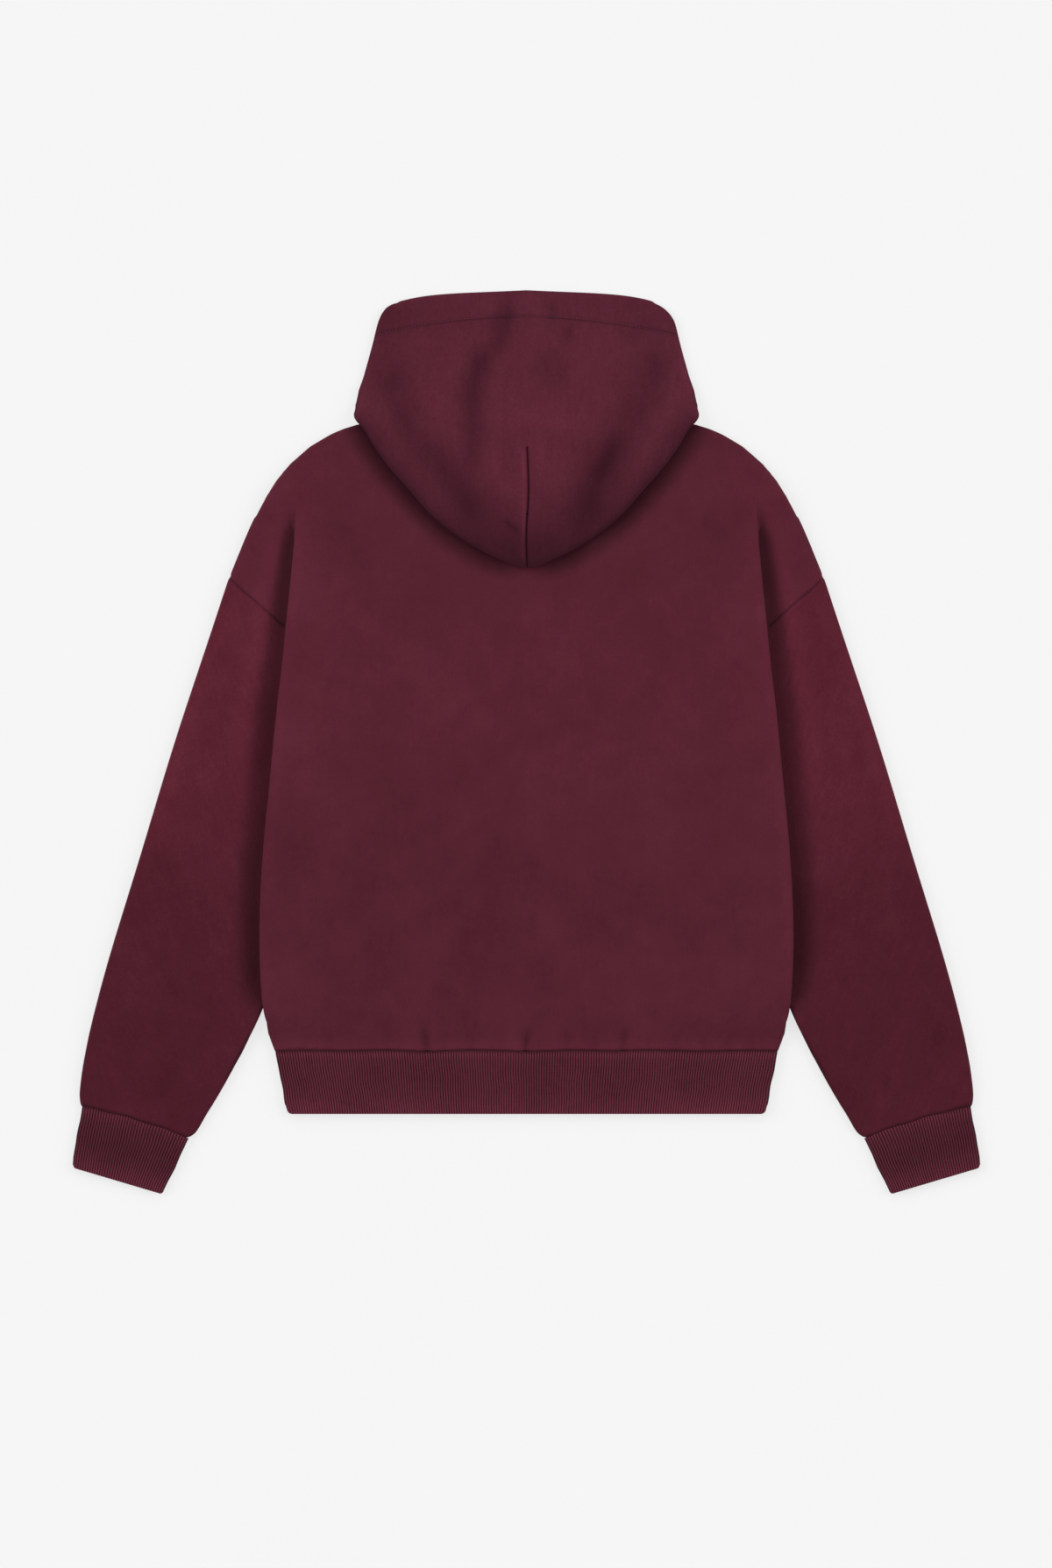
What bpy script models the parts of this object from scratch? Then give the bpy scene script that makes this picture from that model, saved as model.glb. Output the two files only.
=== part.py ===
"""Zip-up hoodie laid flat: face down, back up, its sleeves tucked into the side folds.

Shapes are worked out in millimetres and become metres where a mesh is made. +X is the wearer's right, +Y
points from the hem to the hood, and Z = 0 is the surface that the garment lies on. The cloth is described by
the middle of its wall, which a Solidify modifier then gives its thickness.
"""

import math
from collections import namedtuple

import bmesh
import bpy
import numpy as np

MM = 0.001

# Cloth
CLOTH = 2.0  # heavy brushed fleece
RIB_WALL = 3.0  # doubled rib knit
SEAM_GAP = 0.3  # between two pieces sewn edge to edge
LAYER_GAP = 0.6  # between two layers that lie on each other
PITCH = CLOTH + LAYER_GAP  # from the middle of one layer to the middle of the next
FLOOR_LAYER = CLOTH / 2  # middle of the cloth that lies on the floor

# Heights of the middle of the cloth
LOW_BACK = 5.6  # back panel between the side folds
HIGH_BACK = FLOOR_LAYER + 5 * PITCH  # back panel over the side folds, the top one of six layers
HEM_BACK = 6.4
SLEEVE_TOP = 7.0  # upper layer of a sleeve beside the body
SLEEVE_END_TOP = 5.2  # the same where the cuff is sewn on
TURN = PITCH / 2  # radius of a fold between two layers
EDGE_STEP = 0.65  # how far a panel's sewn edge stops from the middle of the outline
SEAM_LIP = 0.7  # length of cloth that runs out straight to a seam below a fold

# Where the body changes, along Y
SHOULDER_CORNER = (221.0, 302.0)  # x, y on the shoulder, where the outermost column of the panels starts
UNDERARM_Y = -53.5
CROTCH_Y = -280.0  # where the sleeve comes out below the side fold
HEM_SEAM_Y = -318.0
HEM_END_Y = -383.0
RIDGE_X = (125.0, 188.0)  # the back climbs onto the side folds between these
RIDGE_RISE = 77.0  # length below the shoulder over which the side folds reach full height
RIDGE_FALL = 38.0  # length above the hem over which they come down
HEM_CLIMB_Y = -260.0  # where the back starts to climb to the height of the hem's doubled wall
HEM_CLIMB = 55.0
FOLD_OPEN_Y = 245.0  # where the side folds have opened out flat
FOLD_CLOSING = 24.0  # length over which they close below it
TUCK_FLAT = 9.0  # how far beside a fold's edge the cloth below it stays at the fold's height
TUCK_REACH = 45.0  # length over which it then comes down
TUCK_RELEASE = 0.9  # how quickly it comes down below the crotch of sleeve and body
TUCKED_LEVEL = 0.6  # height of the sleeve's upper layer in a side fold, as a share of the fold's height
SLEEVE_THIN_Y = -325.0  # where a sleeve starts to flatten towards its cuff
SLEEVE_THINNING = 60.0

# Neckline
NECK_SHOULDER_X = 98.5
BACK_NECK = ((0.0, 310.5), (50.0, 315.0), (80.0, 324.0), (98.5, 332.0), (103.0, 332.3), (135.0, 329.5),
             (171.0, 325.0), (197.5, 315.5), (221.0, 302.0))
FRONT_NECK = ((0.0, 248.0), (30.0, 251.0), (55.0, 264.0), (78.0, 288.0), (98.5, 332.0), (103.0, 332.3),
              (135.0, 329.5), (171.0, 325.0), (197.5, 315.5), (221.0, 302.0))
FRONT_EDGE_X = 5.5  # each front stops this far from the middle of the zip

# Outer edge of shoulder and sleeve, and the sleeve's inner edge: y, x
OUTER_EDGE = ((302, 221), (288, 238), (275, 250), (248, 268), (221, 281.5), (194, 293), (167, 304),
              (113, 322.5), (59, 340.5), (5, 358.5), (-49, 375), (-103, 391), (-157, 407.5), (-211, 424.5),
              (-265, 439.5), (-301, 448.5), (-337, 455.5), (-367, 457.5), (-375, 455))
INNER_EDGE = ((-53.5, 199), (-75, 206), (-110, 217), (-160, 233), (-210, 249.5), (-250, 262.5),
              (-280, 272.5), (-301, 283), (-319, 292), (-337, 301.5), (-355, 311.5), (-373, 322), (-388, 332),
              (-400, 341.5), (-405.5, 351.5))

# A section across the body: where the side fold turns under, where the cloth turns out again below it, and
# where it ends at the shoulder edge or the armhole. Below the underarm it ends in the side seam at the inner turn.
Section = namedtuple("Section", "y fold valley outer")
SECTIONS = (
    Section(252.0, 235.0, 245.0, 265.4),
    Section(239.0, 235.5, 245.0, 272.5),
    Section(230.0, 236.5, 243.0, 277.0),
    Section(221.0, 237.3, 240.6, 281.5),
    Section(203.0, 238.0, 229.0, 289.2),
    Section(185.0, 239.7, 225.0, 296.4),
    Section(167.0, 241.5, 222.0, 304.0),
    Section(163.5, 241.8, 221.6, 300.7),
    Section(152.5, 243.0, 220.0, 291.0),
    Section(135.5, 244.7, 218.0, 269.5),
    Section(117.5, 246.5, 216.0, 248.0),
    Section(95.0, 248.6, 213.0, 231.0),
    Section(68.0, 251.5, 209.0, 217.0),
    Section(41.0, 255.0, 206.0, None),
    Section(5.0, 258.8, 201.0, None),
    Section(-45.0, 263.4, 193.4, None),
    Section(UNDERARM_Y, 264.2, 192.0, None),
    Section(-75.0, 266.5, 199.5, None),
    Section(-110.0, 269.8, 211.0, None),
    Section(-160.0, 273.0, 227.5, None),
    Section(-210.0, 274.0, 244.0, None),
    Section(-250.0, 272.4, 257.5, None),
    Section(CROTCH_Y, 269.8, 267.0, None),
    Section(-300.0, 264.4, None, None),
    Section(HEM_SEAM_Y, 257.2, None, None),
)
LAST_OUT_TURNED = 13  # the last section whose cloth still runs out to the armhole, in a point
SHOULDER_END = 6  # the section at the outer end of the armhole

# Zip
TAPE = 0.8
TAPE_INNER_X = 1.0
TAPE_OUTER_X = 15.0
TAPE_TOP_Y = 246.0
TAPE_END_Y = -377.0
ON_HEM_FROM = -296.0  # y where the tapes start to climb onto the hem's doubled wall
ON_HEM_REACH = 20.0
SLIDER_Y = 230.0
SLIDER = (9.5, 12.0, 6.5)  # width, length, height
POST = (1.4, 3.0)  # width and length of the post between the slider's two plates
SLOT = 1.4  # height of the slots that the tapes pass through
CHANNEL = (6.8, 3.8)  # width and height of the channel that the teeth pass through
PIVOT = (228.0, 1.7)  # y, z of the pull tab's hinge
BAIL = (1.6, 4.0)  # width, length
BAIL_WIRE = 0.7
BAIL_DROP = 1.6  # from the hinge to the foot of the bail
BAIL_SUNK = 0.5  # how far the bail reaches into the slider's body
TAB = (5.0, 28.0, 1.2)  # width, length, thickness
CROSSBAR = 0.8
TAB_WINDOW = (2.8, 2.9)
ZIP_BOX = (9.0, 12.0, 2.6)
ZIP_BOX_CENTRE = (0.0, -376.5, 1.7)
Lift = namedtuple("Lift", "rise flat_x reach_x flat_y reach_y")
FRONT_LIFT = Lift(3.2, 6.0, 45.0, 10.0, 75.0)  # how the slider lifts the fronts off the floor
BACK_LIFT = Lift(5.8, 9.0, 80.0, 14.0, 120.0)  # and how it lifts the back

# Colours: red, green, blue, linear
WINE = (0.083, 0.017, 0.030, 1.0)
WINE_HOOD = (0.105, 0.020, 0.038, 1.0)
WINE_RIB = (0.072, 0.017, 0.027, 1.0)
WINE_TAPE = (0.060, 0.013, 0.022, 1.0)
METAL = (0.42, 0.40, 0.39, 1.0)


def ease(share):
    share = min(max(share, 0.0), 1.0)
    return share * share * (3.0 - 2.0 * share)


def bump(distance, flat, reach):
    """1 within the flat distance, easing to 0 at the reach."""
    return 1.0 - ease((abs(distance) - flat) / (reach - flat))


def mix(a, b, share):
    return a + (b - a) * share


def smooth_table(rows):
    """The smooth curve through (position, value) rows, as a function of the position."""
    rows = sorted(rows)
    at = np.array([row[0] for row in rows], float)
    value = np.array([row[1] for row in rows], float)
    slope = np.gradient(value, at)

    def read(position):
        position = min(max(position, at[0]), at[-1])
        left = min(int(np.searchsorted(at, position, "right")) - 1, len(at) - 2)
        width = at[left + 1] - at[left]
        t = (position - at[left]) / width
        rise = (2 * t**3 - 3 * t**2 + 1) * value[left] + (3 * t**2 - 2 * t**3) * value[left + 1]
        lean = (t**3 - 2 * t**2 + t) * slope[left] + (t**3 - t**2) * slope[left + 1]
        return float(rise + lean * width)

    return read


def line_table(rows):
    """Straight lines through (position, value) rows."""
    rows = sorted(rows)
    at = [row[0] for row in rows]
    value = [row[1] for row in rows]
    return lambda position: float(np.interp(position, at, value))


outer_edge_x = smooth_table(OUTER_EDGE)
inner_edge_x = smooth_table(INNER_EDGE)
fold_edge_x = line_table([(section.y, section.fold) for section in SECTIONS])


# ---------------------------------------------------------------- heights

def slider_lift(lift, x, y):
    return lift.rise * bump(x, lift.flat_x, lift.reach_x) * bump(y - SLIDER_Y, lift.flat_y, lift.reach_y)


def front_height(x, y):
    """Middle of the fronts, which lie on the floor but for where the slider lifts them."""
    return FLOOR_LAYER + slider_lift(FRONT_LIFT, x, y)


def ridge_height(y):
    """Middle of the back over the side folds."""
    rise = ease((SHOULDER_CORNER[1] - y) / RIDGE_RISE) * (1.0 - ease((CROTCH_Y - y) / RIDGE_FALL))
    return mix(LOW_BACK, HIGH_BACK, rise)


def back_height(x, y):
    low = mix(LOW_BACK, HEM_BACK, ease((HEM_CLIMB_Y - y) / HEM_CLIMB))
    climb = ease((abs(x) - RIDGE_X[0]) / (RIDGE_X[1] - RIDGE_X[0]))
    return low + max(ridge_height(y) - low, 0.0) * climb + slider_lift(BACK_LIFT, x, y)


def fold_share(y):
    """0 where the side fold has opened out above its upper end, 1 where it is folded."""
    return ease((FOLD_OPEN_Y - y) / FOLD_CLOSING)


def tuck(x, y):
    """1 under the side fold, 0 where the sleeve has come down to the floor beside it."""
    beside = abs(x) - fold_edge_x(max(y, CROTCH_Y)) - TUCK_FLAT + TUCK_RELEASE * max(0.0, CROTCH_Y + 5.0 - y)
    return 1.0 - ease(beside / TUCK_REACH)


def outer_under(x, y):
    """Middle of the lower layer outside the side fold: the front's shoulder, then the sleeve's front."""
    layer = (ridge_height(max(y, CROTCH_Y)) - FLOOR_LAYER) / 5.0
    return FLOOR_LAYER + 2.0 * layer * tuck(x, y) * fold_share(y)


def outer_top(x, y):
    """Middle of the upper layer outside the side fold: the back's shoulder, then the sleeve's back."""
    ridge = ridge_height(max(y, CROTCH_Y))
    tucked = mix(ridge, mix(FLOOR_LAYER, ridge, TUCKED_LEVEL), fold_share(y))
    puff = mix(LOW_BACK, SLEEVE_TOP, ease((SHOULDER_CORNER[1] - y) / RIDGE_RISE))
    free = mix(puff, SLEEVE_END_TOP, ease((SLEEVE_THIN_Y - y) / SLEEVE_THINNING))
    return mix(free, tucked, tuck(x, y))


def outline_middle(x, y):
    """Halfway between the two layers at the outer edge."""
    return (outer_top(x, y) + outer_under(x, y)) / 2.0


# ---------------------------------------------------------------- meshes

def material(name, colour, roughness, metallic=0.0):
    made = bpy.data.materials.new(name)
    made.use_nodes = True
    shader = made.node_tree.nodes["Principled BSDF"]
    shader.inputs["Base Color"].default_value = colour
    shader.inputs["Roughness"].default_value = roughness
    shader.inputs["Metallic"].default_value = metallic
    return made


def place(bm, name, look, collection, smooth=True):
    """Turns the bmesh, in millimetres, into an object of the collection."""
    bmesh.ops.scale(bm, vec=(MM, MM, MM), verts=bm.verts)
    mesh = bpy.data.meshes.new(name)
    bm.to_mesh(mesh)
    bm.free()
    if smooth:
        mesh.shade_smooth()
    obj = bpy.data.objects.new(name, mesh)
    obj.data.materials.append(look)
    collection.objects.link(obj)
    return obj


def give_thickness(obj, thickness):
    wall = obj.modifiers.new("wall", "SOLIDIFY")
    wall.thickness = thickness * MM
    wall.offset = 0.0
    wall.use_even_offset = False
    wall.use_quality_normals = True
    return obj


def grid(bm, rows, closed=False):
    """Faces between neighbouring rows of points. A shorter row ends where the longer one closes to a point."""
    lines = [[bm.verts.new(point) for point in row] for row in rows]
    for upper, lower in zip(lines, lines[1:]):
        count = min(len(upper), len(lower))
        for i in range(count if closed else count - 1):
            j = (i + 1) % count
            bm.faces.new((upper[i], lower[i], lower[j], upper[j]))
    return lines


def mirrored(points, side):
    return [(side * x, y, z) for x, y, z in points]


def settle(bm, side=1):
    """Merges the points that close up and turns a mirrored sheet's faces the same way as the other's."""
    bmesh.ops.remove_doubles(bm, verts=bm.verts, dist=0.02)
    if side < 0:
        bmesh.ops.reverse_faces(bm, faces=bm.faces)


# ---------------------------------------------------------------- body panels

TOP_SHARES_BELOW_NECK = (0.0, 0.36, 0.72, 1.0)  # columns between the middle and the neck point
TOP_SHARES_BEYOND_NECK = (0.3, 0.58, 0.82, 1.0)  # columns between the neck point and the side fold
BESIDE_FOLD = 4.0  # the first column of the cloth that runs out lies this far outside the fold above it
OUT_SHARE = 0.6  # the next column, between that one and the outer edge
EDGE_COLUMNS = ((3.2, 1.0), (0.45, 0.78), (0.0, 0.0))  # distance inside the outer edge, share of the height
ARC = (90.0, 30.0, -30.0, -90.0)  # angles of the points round a fold
# x outside the side seam, share of the drop to it
SIDE_SEAM = ((TURN, 0.0), (0.35, 0.22), (0.0, 0.5), (0.0, 0.8), (0.0, 1.0))
SIDE_EDGE_REACH = 5.0
# Share of the way down the yoke, share of the rise from the sewn edge to the cloth's height
PATCH_ROWS = ((0.0, 0.0), (0.006, 0.78), (0.055, 1.0), (0.36, 1.0), (0.7, 1.0))


def first_section(is_back):
    """The first section below the yoke: the front's neckline reaches lower than the back's."""
    return SECTIONS[0] if is_back else SECTIONS[2]


def top_columns(section, centre_x, is_back):
    """x of the columns of the panel's outer layer, from the middle to just before the side fold."""
    first = first_section(is_back)
    width = section.fold - TURN - 4.0 - centre_x
    span = (SHOULDER_CORNER[0] - centre_x) * (first.fold - TURN - 4.0 - centre_x) / (first.outer - centre_x)
    neck = (NECK_SHOULDER_X - centre_x) / span
    shares = [share * neck for share in TOP_SHARES_BELOW_NECK]
    shares += [mix(neck, 1.0, share) for share in TOP_SHARES_BEYOND_NECK]
    return [centre_x + share * width for share in shares]


def fold_columns(section):
    """(x, level) round the side fold: level 0 is the outer layer, 1 the one below it, 2 the one that runs out."""
    columns = []
    if section.valley is None:
        return columns
    opened = section.valley > section.fold
    for turn, (x, way, level) in enumerate(((section.fold, 1, 0), (section.valley, -1, 1))):
        for angle in ARC:
            down = 0.5 - 0.5 * math.sin(math.radians(angle))
            if opened:
                share = (turn + down) / 2.0
                columns.append((mix(section.fold - 1.0, section.valley + 1.0, share), level + down))
            else:
                columns.append((x - way * TURN * (1.0 - math.cos(math.radians(angle))), level + down))
    return columns


def side_edge_columns(section):
    """(x, share of the height) down the plain side edge below the side fold."""
    count = 2 * len(ARC) + 1
    columns = []
    for i in range(count):
        angle = math.radians(90.0 * i / (count - 1))
        columns.append((section.fold - SIDE_EDGE_REACH * (1.0 - math.sin(angle)), math.cos(angle)))
    return columns


def panel_row(section, centre_x, is_back):
    """The points across half of a panel at one section."""
    y = section.y
    layer = back_height if is_back else front_height
    outer = outer_top if is_back else outer_under
    up = 1.0 if is_back else -1.0
    points = [(x, y, layer(x, y)) for x in top_columns(section, centre_x, is_back)]
    top = layer(section.fold, y)
    middle = (back_height(section.fold, y) + front_height(section.fold, y)) / 2.0

    if section.valley is None:
        for x, share in side_edge_columns(section):
            points.append((x, y, mix(middle + up * EDGE_STEP, top, share)))
        return points

    low = outer(section.valley, y)
    turns = fold_columns(section)
    if y < UNDERARM_Y:
        under = mix(top, low, 0.5)
        gap = SEAM_GAP / 2 + 0.6 * bump(y - UNDERARM_Y, 25.0, 60.0)
        points += [(x, y, mix(top, low, level / 2.0)) for x, level in turns[: len(ARC)]]
        for inset, drop in SIDE_SEAM:
            points.append((section.valley + inset, y, mix(under, middle + up * gap, drop)))
        return points

    points += [(x, y, mix(top, low, level / 2.0)) for x, level in turns]
    if section.outer is None:
        lip = (section.valley + TURN + SEAM_LIP, y, low)
        closing = section is SECTIONS[LAST_OUT_TURNED]
        return points + [lip] * (1 + len(EDGE_COLUMNS) if closing else 1)

    on_outline = y >= SECTIONS[SHOULDER_END].y
    middle = outline_middle(section.outer, y)
    reach = section.outer - EDGE_COLUMNS[0][0]
    last = points[-1][0]
    first = min(max(section.fold, last) + BESIDE_FOLD, mix(last, reach, 0.5))
    columns = [(first, 1.0), (mix(first, reach, OUT_SHARE), 1.0)]
    columns += [(section.outer - inset, height) for inset, height in EDGE_COLUMNS[1:]]
    for x, height in columns:
        flat = outer(x, y)
        points.append((x, y, mix(middle + up * EDGE_STEP, flat, height) if on_outline else flat))
    return points


def yoke_rows(centre_x, is_back):
    """The rows between the neckline and shoulder edge and the first section, bent to follow both."""
    top_edge = smooth_table(BACK_NECK if is_back else FRONT_NECK)
    last = first_section(is_back)
    whole = panel_row(last, centre_x, is_back)
    layer = back_height if is_back else front_height
    up = 1.0 if is_back else -1.0
    rows = []
    for share, height in PATCH_ROWS:
        corner_y = mix(SHOULDER_CORNER[1], last.y, share)
        corner_x = outer_edge_x(corner_y)
        middle = outline_middle(corner_x, corner_y)
        row = []
        for x, _, z in whole:
            across = (x - centre_x) / (last.outer - centre_x)
            new_x = mix(centre_x, corner_x, across)
            edge_x = mix(centre_x, SHOULDER_CORNER[0], across)
            new_y = mix(top_edge(edge_x), last.y, share)
            flat = layer(new_x, new_y) if is_back else mix(layer(new_x, new_y), z, ease(share))
            sewn = ease((edge_x - NECK_SHOULDER_X + 36.0) / 36.0)
            edge = mix(middle + up * EDGE_STEP, flat, height)
            row.append((new_x, new_y, mix(flat, edge, sewn)))
        inner = row[-len(EDGE_COLUMNS)][2]
        for place_from_end, (inset, rounding) in zip((2, 1), EDGE_COLUMNS[1:]):
            k = len(row) - place_from_end
            edge = mix(middle + up * EDGE_STEP, inner, rounding)
            z = min(row[k][2], edge) if is_back else max(row[k][2], edge)
            row[k] = (corner_x - inset, row[k][1], z)
        rows.append(row)
    return rows, last


def panel_points(centre_x, is_back):
    rows, last = yoke_rows(centre_x, is_back)
    rows += [panel_row(section, centre_x, is_back) for section in SECTIONS[SECTIONS.index(last):]]
    return rows


def back_panel(collection):
    bm = bmesh.new()
    grid(bm, panel_points(0.0, True))
    settle(bm)
    obj = place(bm, "back_panel", material("fleece_back", WINE, 0.95), collection)
    mirror = obj.modifiers.new("other_half", "MIRROR")
    mirror.merge_threshold = 0.00001
    return give_thickness(obj, CLOTH)


def front_panel(name, side, collection, look):
    bm = bmesh.new()
    grid(bm, [mirrored(row, side) for row in panel_points(FRONT_EDGE_X, False)])
    settle(bm, -side)
    return give_thickness(place(bm, name, look, collection), CLOTH)


# ---------------------------------------------------------------- sleeves

SLEEVE_SHARES = (0.0, 0.09, 0.18, 0.27, 0.36, 0.45, 0.54, 0.63, 0.72, 0.81, 0.89, 0.96, 1.0)
EDGE_ROUND = ((0.0, 0.28), (0.9, 0.72))  # distance inside the outer edge, share of the half height
INNER_ROUND = ((1.0, 1.0), (0.134, 0.5))  # the same at the inner edge, in turning radii
INNER_TURN = 3.0
ARMHOLE_GAP = 0.45


def armhole():
    """Plan points of the sleeve's upper end, from the shoulder to the underarm, clear of the panels."""
    points = []
    for section in SECTIONS[SHOULDER_END:]:
        if section.y < UNDERARM_Y:
            break
        x = section.outer if section.outer is not None else section.valley + TURN + SEAM_LIP
        points.append(np.array((x, section.y)))
    slopes = np.gradient(np.array(points), axis=0)
    away = [np.array((-slope[1], slope[0])) / np.hypot(*slope) for slope in slopes]
    ends = (points[0], points[-1])
    from_ends = [[float(np.hypot(*(point - end))) for end in ends] for point in points]
    gaps = [ARMHOLE_GAP + sum(bump(length, 3.0, 30.0) for length in lengths) for lengths in from_ends]
    return [point + gap * out for point, gap, out in zip(points, gaps, away)]


def sleeve_ring(share, hole):
    """One closed ring: across the sleeve's back from its outer to its inner edge, and back below it."""
    lengths = np.cumsum([0.0] + [float(np.hypot(*(b - a))) for a, b in zip(hole, hole[1:])])
    along = lengths / lengths[-1]
    outer_y = mix(hole[0][1], OUTER_EDGE[-1][0], share)
    inner_y = mix(hole[-1][1], INNER_EDGE[-1][0], share)
    outer = np.array((outer_edge_x(outer_y), outer_y))
    inner = np.array((inner_edge_x(inner_y), inner_y))
    width = float(np.hypot(*(inner - outer)))
    start = mix(hole[0], outer, ease(share / 0.05))
    end = mix(hole[-1], inner, ease(share / 0.05))
    bow = max(0.0, 1.0 - share / 0.5) ** 2

    def plan(across):
        straight = mix(start, end, across)
        hole_point = np.array([np.interp(across, along, [p[k] for p in hole]) for k in (0, 1)])
        return straight + bow * (hole_point - mix(hole[0], hole[-1], across))

    inner_turn = min((outer_top(*inner) - outer_under(*inner)) / 2.0, INNER_TURN)
    columns = [(inset / width, height) for inset, height in EDGE_ROUND]
    columns += [(middle, 1.0) for middle in along[1:-1]]
    columns += [(1.0 - inset * inner_turn / width, height) for inset, height in INNER_ROUND]
    above = []
    below = []
    for across, height in columns:
        x, y = plan(across)
        top = outer_top(x, y)
        under = outer_under(x, y)
        middle = (top + under) / 2.0
        above.append((x, y, mix(middle, top, height)))
        below.append((x, y, mix(middle, under, height)))
    return above + below[::-1]


def sleeve(name, side, collection, look):
    hole = armhole()
    bm = bmesh.new()
    grid(bm, [mirrored(sleeve_ring(share, hole), side) for share in SLEEVE_SHARES], closed=True)
    settle(bm, side)
    return give_thickness(place(bm, name, look, collection), CLOTH)


# ---------------------------------------------------------------- ribs

RIB_DEPTH = 0.5
CUFF_RIBS = 36
HEM_RIBS = 190
HEM_PLAIN_STEPS = 4
HEM_TURN = (HEM_BACK - RIB_WALL / 2) / 2.0  # half the distance between the middles of the hem's two walls
CUFF_TURN = 1.8
CUFF_SEAM = ((455.0, -375.4), (352.4, -406.0))  # outer and inner end of the cuff's sewn edge
CUFF_OPENING = ((464.0, -436.0), (373.0, -463.0))


def flat_ring(half_width, turn, offset, ribbed, ribs):
    """A flattened ring round a doubled wall, as (across, height above its middle), from the lower left round.

    The points lie at an offset from the middle of the wall. The upper side carries the ribs.
    """
    radius = turn + offset
    straight = half_width - turn - RIB_WALL / 2
    points = []
    if ribbed:
        for i in range(2 * ribs + 1):
            crest = offset if i % 2 else offset - RIB_DEPTH
            points.append((mix(straight, -straight, i / (2 * ribs)), turn + crest))
        arc = [math.radians(90 + 180 * i / 8) for i in range(1, 8)]
    else:
        points += [(mix(straight, -straight, i / 8), turn + offset) for i in range(9)]
        arc = [math.radians(90 + 180 * i / 4) for i in range(1, 4)]
    points += [(-straight + radius * math.cos(a), radius * math.sin(a)) for a in arc]
    points += [(mix(-straight, straight, i / 8), -radius) for i in range(9)]
    points += [(straight - radius * math.cos(a), -radius * math.sin(a)) for a in arc]
    return points


def grid_between(bm, first, second, closed=False):
    """Faces between two lines of vertices."""
    for i in range(len(first) if closed else len(first) - 1):
        j = (i + 1) % len(first)
        bm.faces.new((first[i], first[j], second[j], second[i]))


def cuff(name, side, collection, look):
    """A doubled rib cuff between its sewn edge and its opening."""
    bm = bmesh.new()
    loops = {}
    for end, (outer, inner) in (("seam", CUFF_SEAM), ("opening", CUFF_OPENING)):
        outer = np.array(outer)
        inner = np.array(inner)
        half = float(np.hypot(*(outer - inner))) / 2.0
        axis = (outer - inner) / (2.0 * half)
        centre = (outer + inner) / 2.0
        base = CUFF_TURN + RIB_WALL / 2
        for layer, offset in (("outside", RIB_WALL / 2), ("inside", -RIB_WALL / 2)):
            ring = flat_ring(half, CUFF_TURN, offset, layer == "outside", CUFF_RIBS)
            points = [(*(centre + axis * across), base + height) for across, height in ring]
            loops[end, layer] = [bm.verts.new((side * x, y, z)) for x, y, z in points]
    edges = {}
    for key, loop in loops.items():
        edges[key] = [bm.edges.new((a, b)) for a, b in zip(loop, loop[1:] + loop[:1])]
    for layer in ("outside", "inside"):
        grid_between(bm, loops["seam", layer], loops["opening", layer], closed=True)
    for end in ("seam", "opening"):
        bmesh.ops.triangle_fill(bm, edges=edges[end, "outside"] + edges[end, "inside"], use_beauty=True)
    bmesh.ops.recalc_face_normals(bm, faces=bm.faces)
    return place(bm, name, look, collection, smooth=False)


HEM_HALF_WIDTHS = ((HEM_SEAM_Y - SEAM_GAP - 0.2, 257.8), (HEM_END_Y, 246.0))


def hem_line(half_width, offset, ribs, turn_steps):
    """One side of the hem band's wall, as (x, z), from one edge of the zip round the body to the other."""
    straight = half_width - HEM_TURN - RIB_WALL / 2
    radius = HEM_TURN + offset
    lower = [mix(FRONT_EDGE_X, straight, i / 4) for i in range(5)]
    turn = [math.radians(180.0 * i / turn_steps - 90.0) for i in range(1, turn_steps)]
    points = [(x, -radius) for x in lower]
    points += [(straight + radius * math.cos(angle), radius * math.sin(angle)) for angle in turn]
    for i in range(2 * ribs + 1):
        valley = RIB_DEPTH if ribs > HEM_PLAIN_STEPS and i % 2 == 0 else 0.0
        points.append((mix(straight, -straight, i / (2 * ribs)), radius - valley))
    points += [(-straight - radius * math.cos(angle), radius * math.sin(angle)) for angle in reversed(turn)]
    points += [(-x, -radius) for x in reversed(lower)]
    return [(x, z + RIB_WALL / 2 + HEM_TURN) for x, z in points]


def across_wall(bm, outside, inside):
    """Triangles between the two lines of vertices at one end of a wall: the rib crests, then the rest."""
    low = []
    for before, point, after in zip(outside[:1] + outside, outside, outside[1:] + outside[-1:]):
        if point.co.z - max(before.co.z, after.co.z) > RIB_DEPTH / 2:
            bm.faces.new((before, point, after))
        else:
            low.append(point)
    i = j = 0
    while i < len(low) - 1 or j < len(inside) - 1:
        along_outside = (low[i + 1].co - inside[j].co).length if i < len(low) - 1 else math.inf
        along_inside = (inside[j + 1].co - low[i].co).length if j < len(inside) - 1 else math.inf
        if along_outside < along_inside:
            bm.faces.new((low[i], low[i + 1], inside[j]))
            i += 1
        else:
            bm.faces.new((low[i], inside[j + 1], inside[j]))
            j += 1


def hem_rib(collection):
    """A doubled rib band, open at the zip, its ribs raised on the outside of the upper layer."""
    bm = bmesh.new()
    sides = []
    for offset, ribs, turn_steps in ((RIB_WALL / 2, HEM_RIBS, 8), (-RIB_WALL / 2, HEM_PLAIN_STEPS, 4)):
        lines = []
        for y, half_width in HEM_HALF_WIDTHS:
            lines.append([bm.verts.new((x, y, z)) for x, z in hem_line(half_width, offset, ribs, turn_steps)])
        grid_between(bm, *lines)
        sides.append(lines)
    (outside_seam, outside_end), (inside_seam, inside_end) = sides
    across_wall(bm, outside_seam, inside_seam)
    across_wall(bm, outside_end, inside_end)
    for k in (0, -1):
        bm.faces.new((outside_seam[k], outside_end[k], inside_end[k], inside_seam[k]))
    bmesh.ops.recalc_face_normals(bm, faces=bm.faces)
    return place(bm, "hem_rib", material("rib_hem", WINE_RIB, 0.95), collection, smooth=False)


# ---------------------------------------------------------------- hood

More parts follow.
